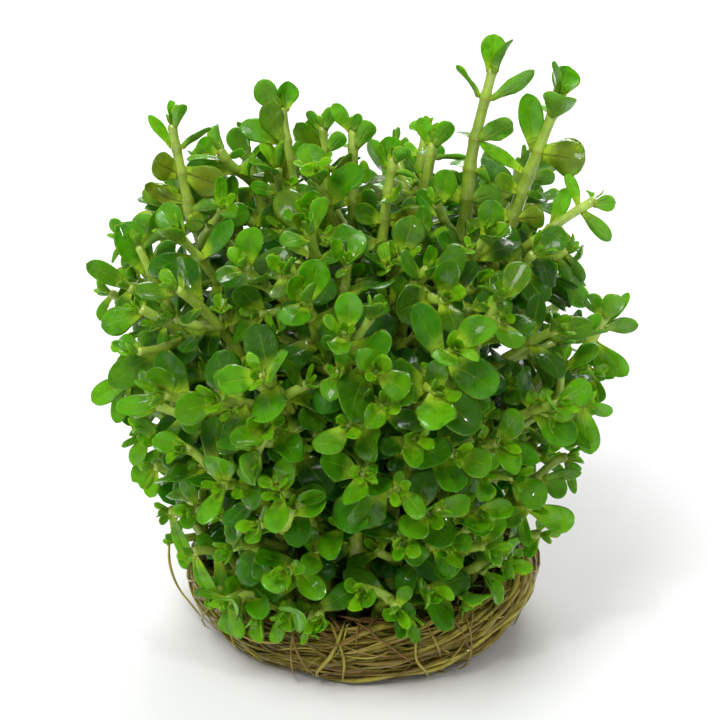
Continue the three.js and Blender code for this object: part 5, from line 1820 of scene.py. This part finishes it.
def grow_twig(plant, parent, pair, face):
    """Grows a twig in the axil of one leaf, if there is room for the twig and for two of its leaves."""
    keys = keys_of(plant, parent, 1100 + pair["age"] * 4 + face)
    if chance(*keys, 31) > TWIG["share"]:
        return
    ring = pair["ring"]
    out = face_normal(ring, face)
    shortest, longest = TWIG["length"]
    for attempt in range(TWIG["tries"]):
        aside = vary(RISES["aside"], *keys, attempt, 32)
        axis = out * RISES["out"] + ring["tangent"] * RISES["ahead"] + UP * RISES["up"]
        axis = sized(axis + np.cross(out, ring["tangent"]) * aside)
        length = shortest + (longest - shortest) * chance(*keys, attempt, 33)
        length *= 1 - TWIG["shorter"] * attempt
        end = ring["centre"] + out * ring["half"] + axis * length
        limb = plan_twig(plant, parent, ring["s"] + 0.3, face, end, axis + UP * 0.3)
        stem_at = limb["curve"].point(np.arange(2.0, limb["curve"].total + 1, 1.2))
        if not inside_clump(stem_at, 0.5) or not room_for(stem_at, 0.9):
            continue
        grown = leaf_twig(plant, limb, allowed=may_hold_leaf, **FILLING_TWIG)
        if len(grown) >= FEWEST_LEAVES:
            keep_twig(plant, limb, grown)
            pair.setdefault("twigs", []).append(face)
            return


for plant, parent in packed_limbs:
    for pair in parent["pairs"]:
        if pair["age"] < 2 or "seen" in pair or pair["ring"]["centre"][2] > TWIG["top"]:
            continue
        for face in faces_of(pair):
            grow_twig(plant, parent, pair, face)

# Buds. At each tip the next leaves stand folded together, palest of all, and tiny shoots sit in many of the
# leaves' axils. They grow on the same stems, and are about 1 to 4 mm long.

BUD = [  # the two pairs of leaves above the youngest packed pair, which may stand for the first of them
    {"length": 3.6, "incline": 34, "faces": (0, 2)},
    {"length": 2.0, "incline": 17, "faces": (1, 3)},
]
EDGE_BUD = [  # the buds that show at the clump's edges are a little more open
    {"length": 2.4, "incline": 30, "faces": (0, 2)},
    {"length": 1.6, "incline": 14, "faces": (1, 3)},
]
BUD_FIT = {"sunk": 0.15, "half": 0.5, "curl": -0.25, "width": 0.8, "on_twig": 0.78}
OPEN_END = 0.5  # mm: an edge limb that ends nearer than this to its solid's tip has an open bud


def draw_small(plant, form, keys):
    draw_leaf(plant, form, look_of(plant, keys, 0), "small")


for plant in plants:
    for limb in plant["limbs"]:
        ring = frame_at(limb, limb.get("ends", limb["curve"].total) - BUD_FIT["sunk"])
        ring["half"] *= BUD_FIT["half"]
        pairs = BUD[1:] if "ends" in limb or limb["pairs"][0]["age"] == 0 else BUD
        if (plant["name"], limb["number"]) in EDGES and limb["curve"].total - limb["ends"] < OPEN_END:
            pairs = EDGE_BUD
        size = plant["size"] * (1 if limb["number"] < FIRST_TWIG else BUD_FIT["on_twig"])
        for k, bud in enumerate(pairs):
            for face in bud["faces"]:
                keys = keys_of(plant, limb, 700 + 10 * k + face)
                form = leaf_form(ring, face, 0, keys, 0, size, bud["incline"], bud["length"], BUD_FIT["curl"])
                form["width"] *= BUD_FIT["width"]
                draw_small(plant, form, keys)
                settle(probes_of(form))

AXIL_SHARE = 0.42  # of the leaves have a tiny shoot in their axil
AXIL_STALK = (0.5, 1.8)
AXIL_LEAF = (1.5, 3.1)
AXIL_LEAVES = ((1, 1.0), (3, 1.0), (0, 0.55), (2, 0.55))  # face, and share of the length
STALK_RADII = [0.3, 0.26, 0.24, 0.2]


def between(ends, share):
    return ends[0] + (ends[1] - ends[0]) * share


def grow_axil(plant, limb, pair, face):
    """Grows a tiny shoot of four leaves in the axil of one leaf, if there is room for it."""
    keys = keys_of(plant, limb, 900 + 4 * pair["age"] + face)
    if chance(*keys, 31) > AXIL_SHARE or face in pair.get("twigs", []):
        return
    ring = pair["ring"]
    out = face_normal(ring, face)
    axis = sized(ring["tangent"] + out * (0.55 + 0.4 * chance(*keys, 32)))
    stalk = between(AXIL_STALK, chance(*keys, 33))
    base = ring["centre"] + out * ring["half"] * 0.7 + ring["tangent"] * 0.35
    tiny = ring_at(stalk, base + axis * stalk, axis, sized(np.cross(axis, out)), 0.12)
    length = between(AXIL_LEAF, chance(*keys, 34))
    forms = [
        leaf_form(tiny, side, 0, (*keys[:2], keys[2] + 50 + side), 0, 1.0, 42, length * share, 0.3)
        for side, share in AXIL_LEAVES
    ]
    outer = np.concatenate([probes_of(form)[OUTER:] for form in forms[:2]])
    if not inside_clump(outer, 2.0) or not room_for(outer, 0.5):
        return
    path = base + axis * np.linspace(0, stalk, len(STALK_RADII))[:, None]
    trait = (plant["tone"], 0.9, 0, 0)
    tube(plant["tissue"], path, STALK_RADII, round_section(6), trait, (0, 0, 0, 0), length)
    for form in forms:
        draw_small(plant, form, keys)
    settle(outer)


for plant, limb in packed_limbs:
    for pair in limb["pairs"]:
        if pair["age"] > 0 and "seen" not in pair:
            for face in faces_of(pair):
                grow_axil(plant, limb, pair, face)

SLOTS = {"tall_shoot": "foliage_top", "front_shoot": "foliage_front", "back_shoot": "foliage_back"}
for plant in plants:
    name = plant["name"] + "_grown"
    plant["tissue"].piece(name, SLOTS[plant["kind"]], plant["name"], [stem_material, leaf_material])

# Stage. A plain pale floor, soft studio light from above and both sides, and the camera at the photograph's
# angle: 23 degrees above the horizon and 33 cm from the middle of the clump.

FLOOR_HALF = 3.0  # metres
floor_corners = [(x * FLOOR_HALF, y * FLOOR_HALF, 0) for x, y in ((-1, -1), (1, -1), (1, 1), (-1, 1))]
floor_mesh = bpy.data.meshes.new("floor")
floor_mesh.from_pydata(floor_corners, [], [(0, 1, 2, 3)])
floor = bpy.data.objects.new("floor", floor_mesh)
floor_material, tree, skin = material_with("floor_white")
feed(tree, skin.inputs, {"Base Color": (0.94, 0.94, 0.94, 1), "Roughness": 0.9, "Specular IOR Level": 0.0})
floor_mesh.materials.append(floor_material)
bpy.context.scene.collection.objects.link(floor)

world = bpy.data.worlds.new("studio")
world.use_nodes = True
tree = world.node_tree
feed(tree, tree.nodes["Background"].inputs, {"Color": (1, 1, 1, 1), "Strength": 0.33})
bpy.context.scene.world = world

MIDDLE = np.array([0, 0, 0.04])  # of the clump, where the lamps point
for name, spot, size, power in (
    ("key_light", (-0.14, -0.22, 0.48), 0.24, 1.75),
    ("left_lamp", (-0.20, -0.34, 0.40), 0.03, 0.35),
    ("right_lamp", (0.26, -0.30, 0.36), 0.03, 0.30),
    ("front_light", (0.04, -0.62, 0.12), 0.40, 0.4),
    ("back_light", (0.05, 0.40, 0.36), 0.30, 1.9),
):
    light = bpy.data.lights.new(name, "AREA")
    light.shape = "SQUARE"
    light.size = size
    light.energy = power
    lamp = bpy.data.objects.new(name, light)
    lamp.location = spot
    aim = Vector(MIDDLE - np.array(spot))
    lamp.rotation_euler = aim.to_track_quat("-Z", "Y").to_euler()
    bpy.context.scene.collection.objects.link(lamp)

ELEVATION = 23 * DEGREE
DISTANCE = 0.330
TARGET = (0.0003, 0.0, 0.0368)
camera_data = bpy.data.cameras.new("camera")
camera_data.sensor_width = 36
camera_data.lens = 126.92
camera_data.clip_start, camera_data.clip_end = 0.01, 20
camera = bpy.data.objects.new("camera", camera_data)
camera.location = (
    TARGET[0],
    TARGET[1] - DISTANCE * math.cos(ELEVATION),
    TARGET[2] + DISTANCE * math.sin(ELEVATION),
)
camera.rotation_euler = (math.pi / 2 - ELEVATION, 0, 0)
bpy.context.scene.collection.objects.link(camera)
bpy.context.scene.camera = camera
bpy.context.scene.view_settings.view_transform = "Standard"
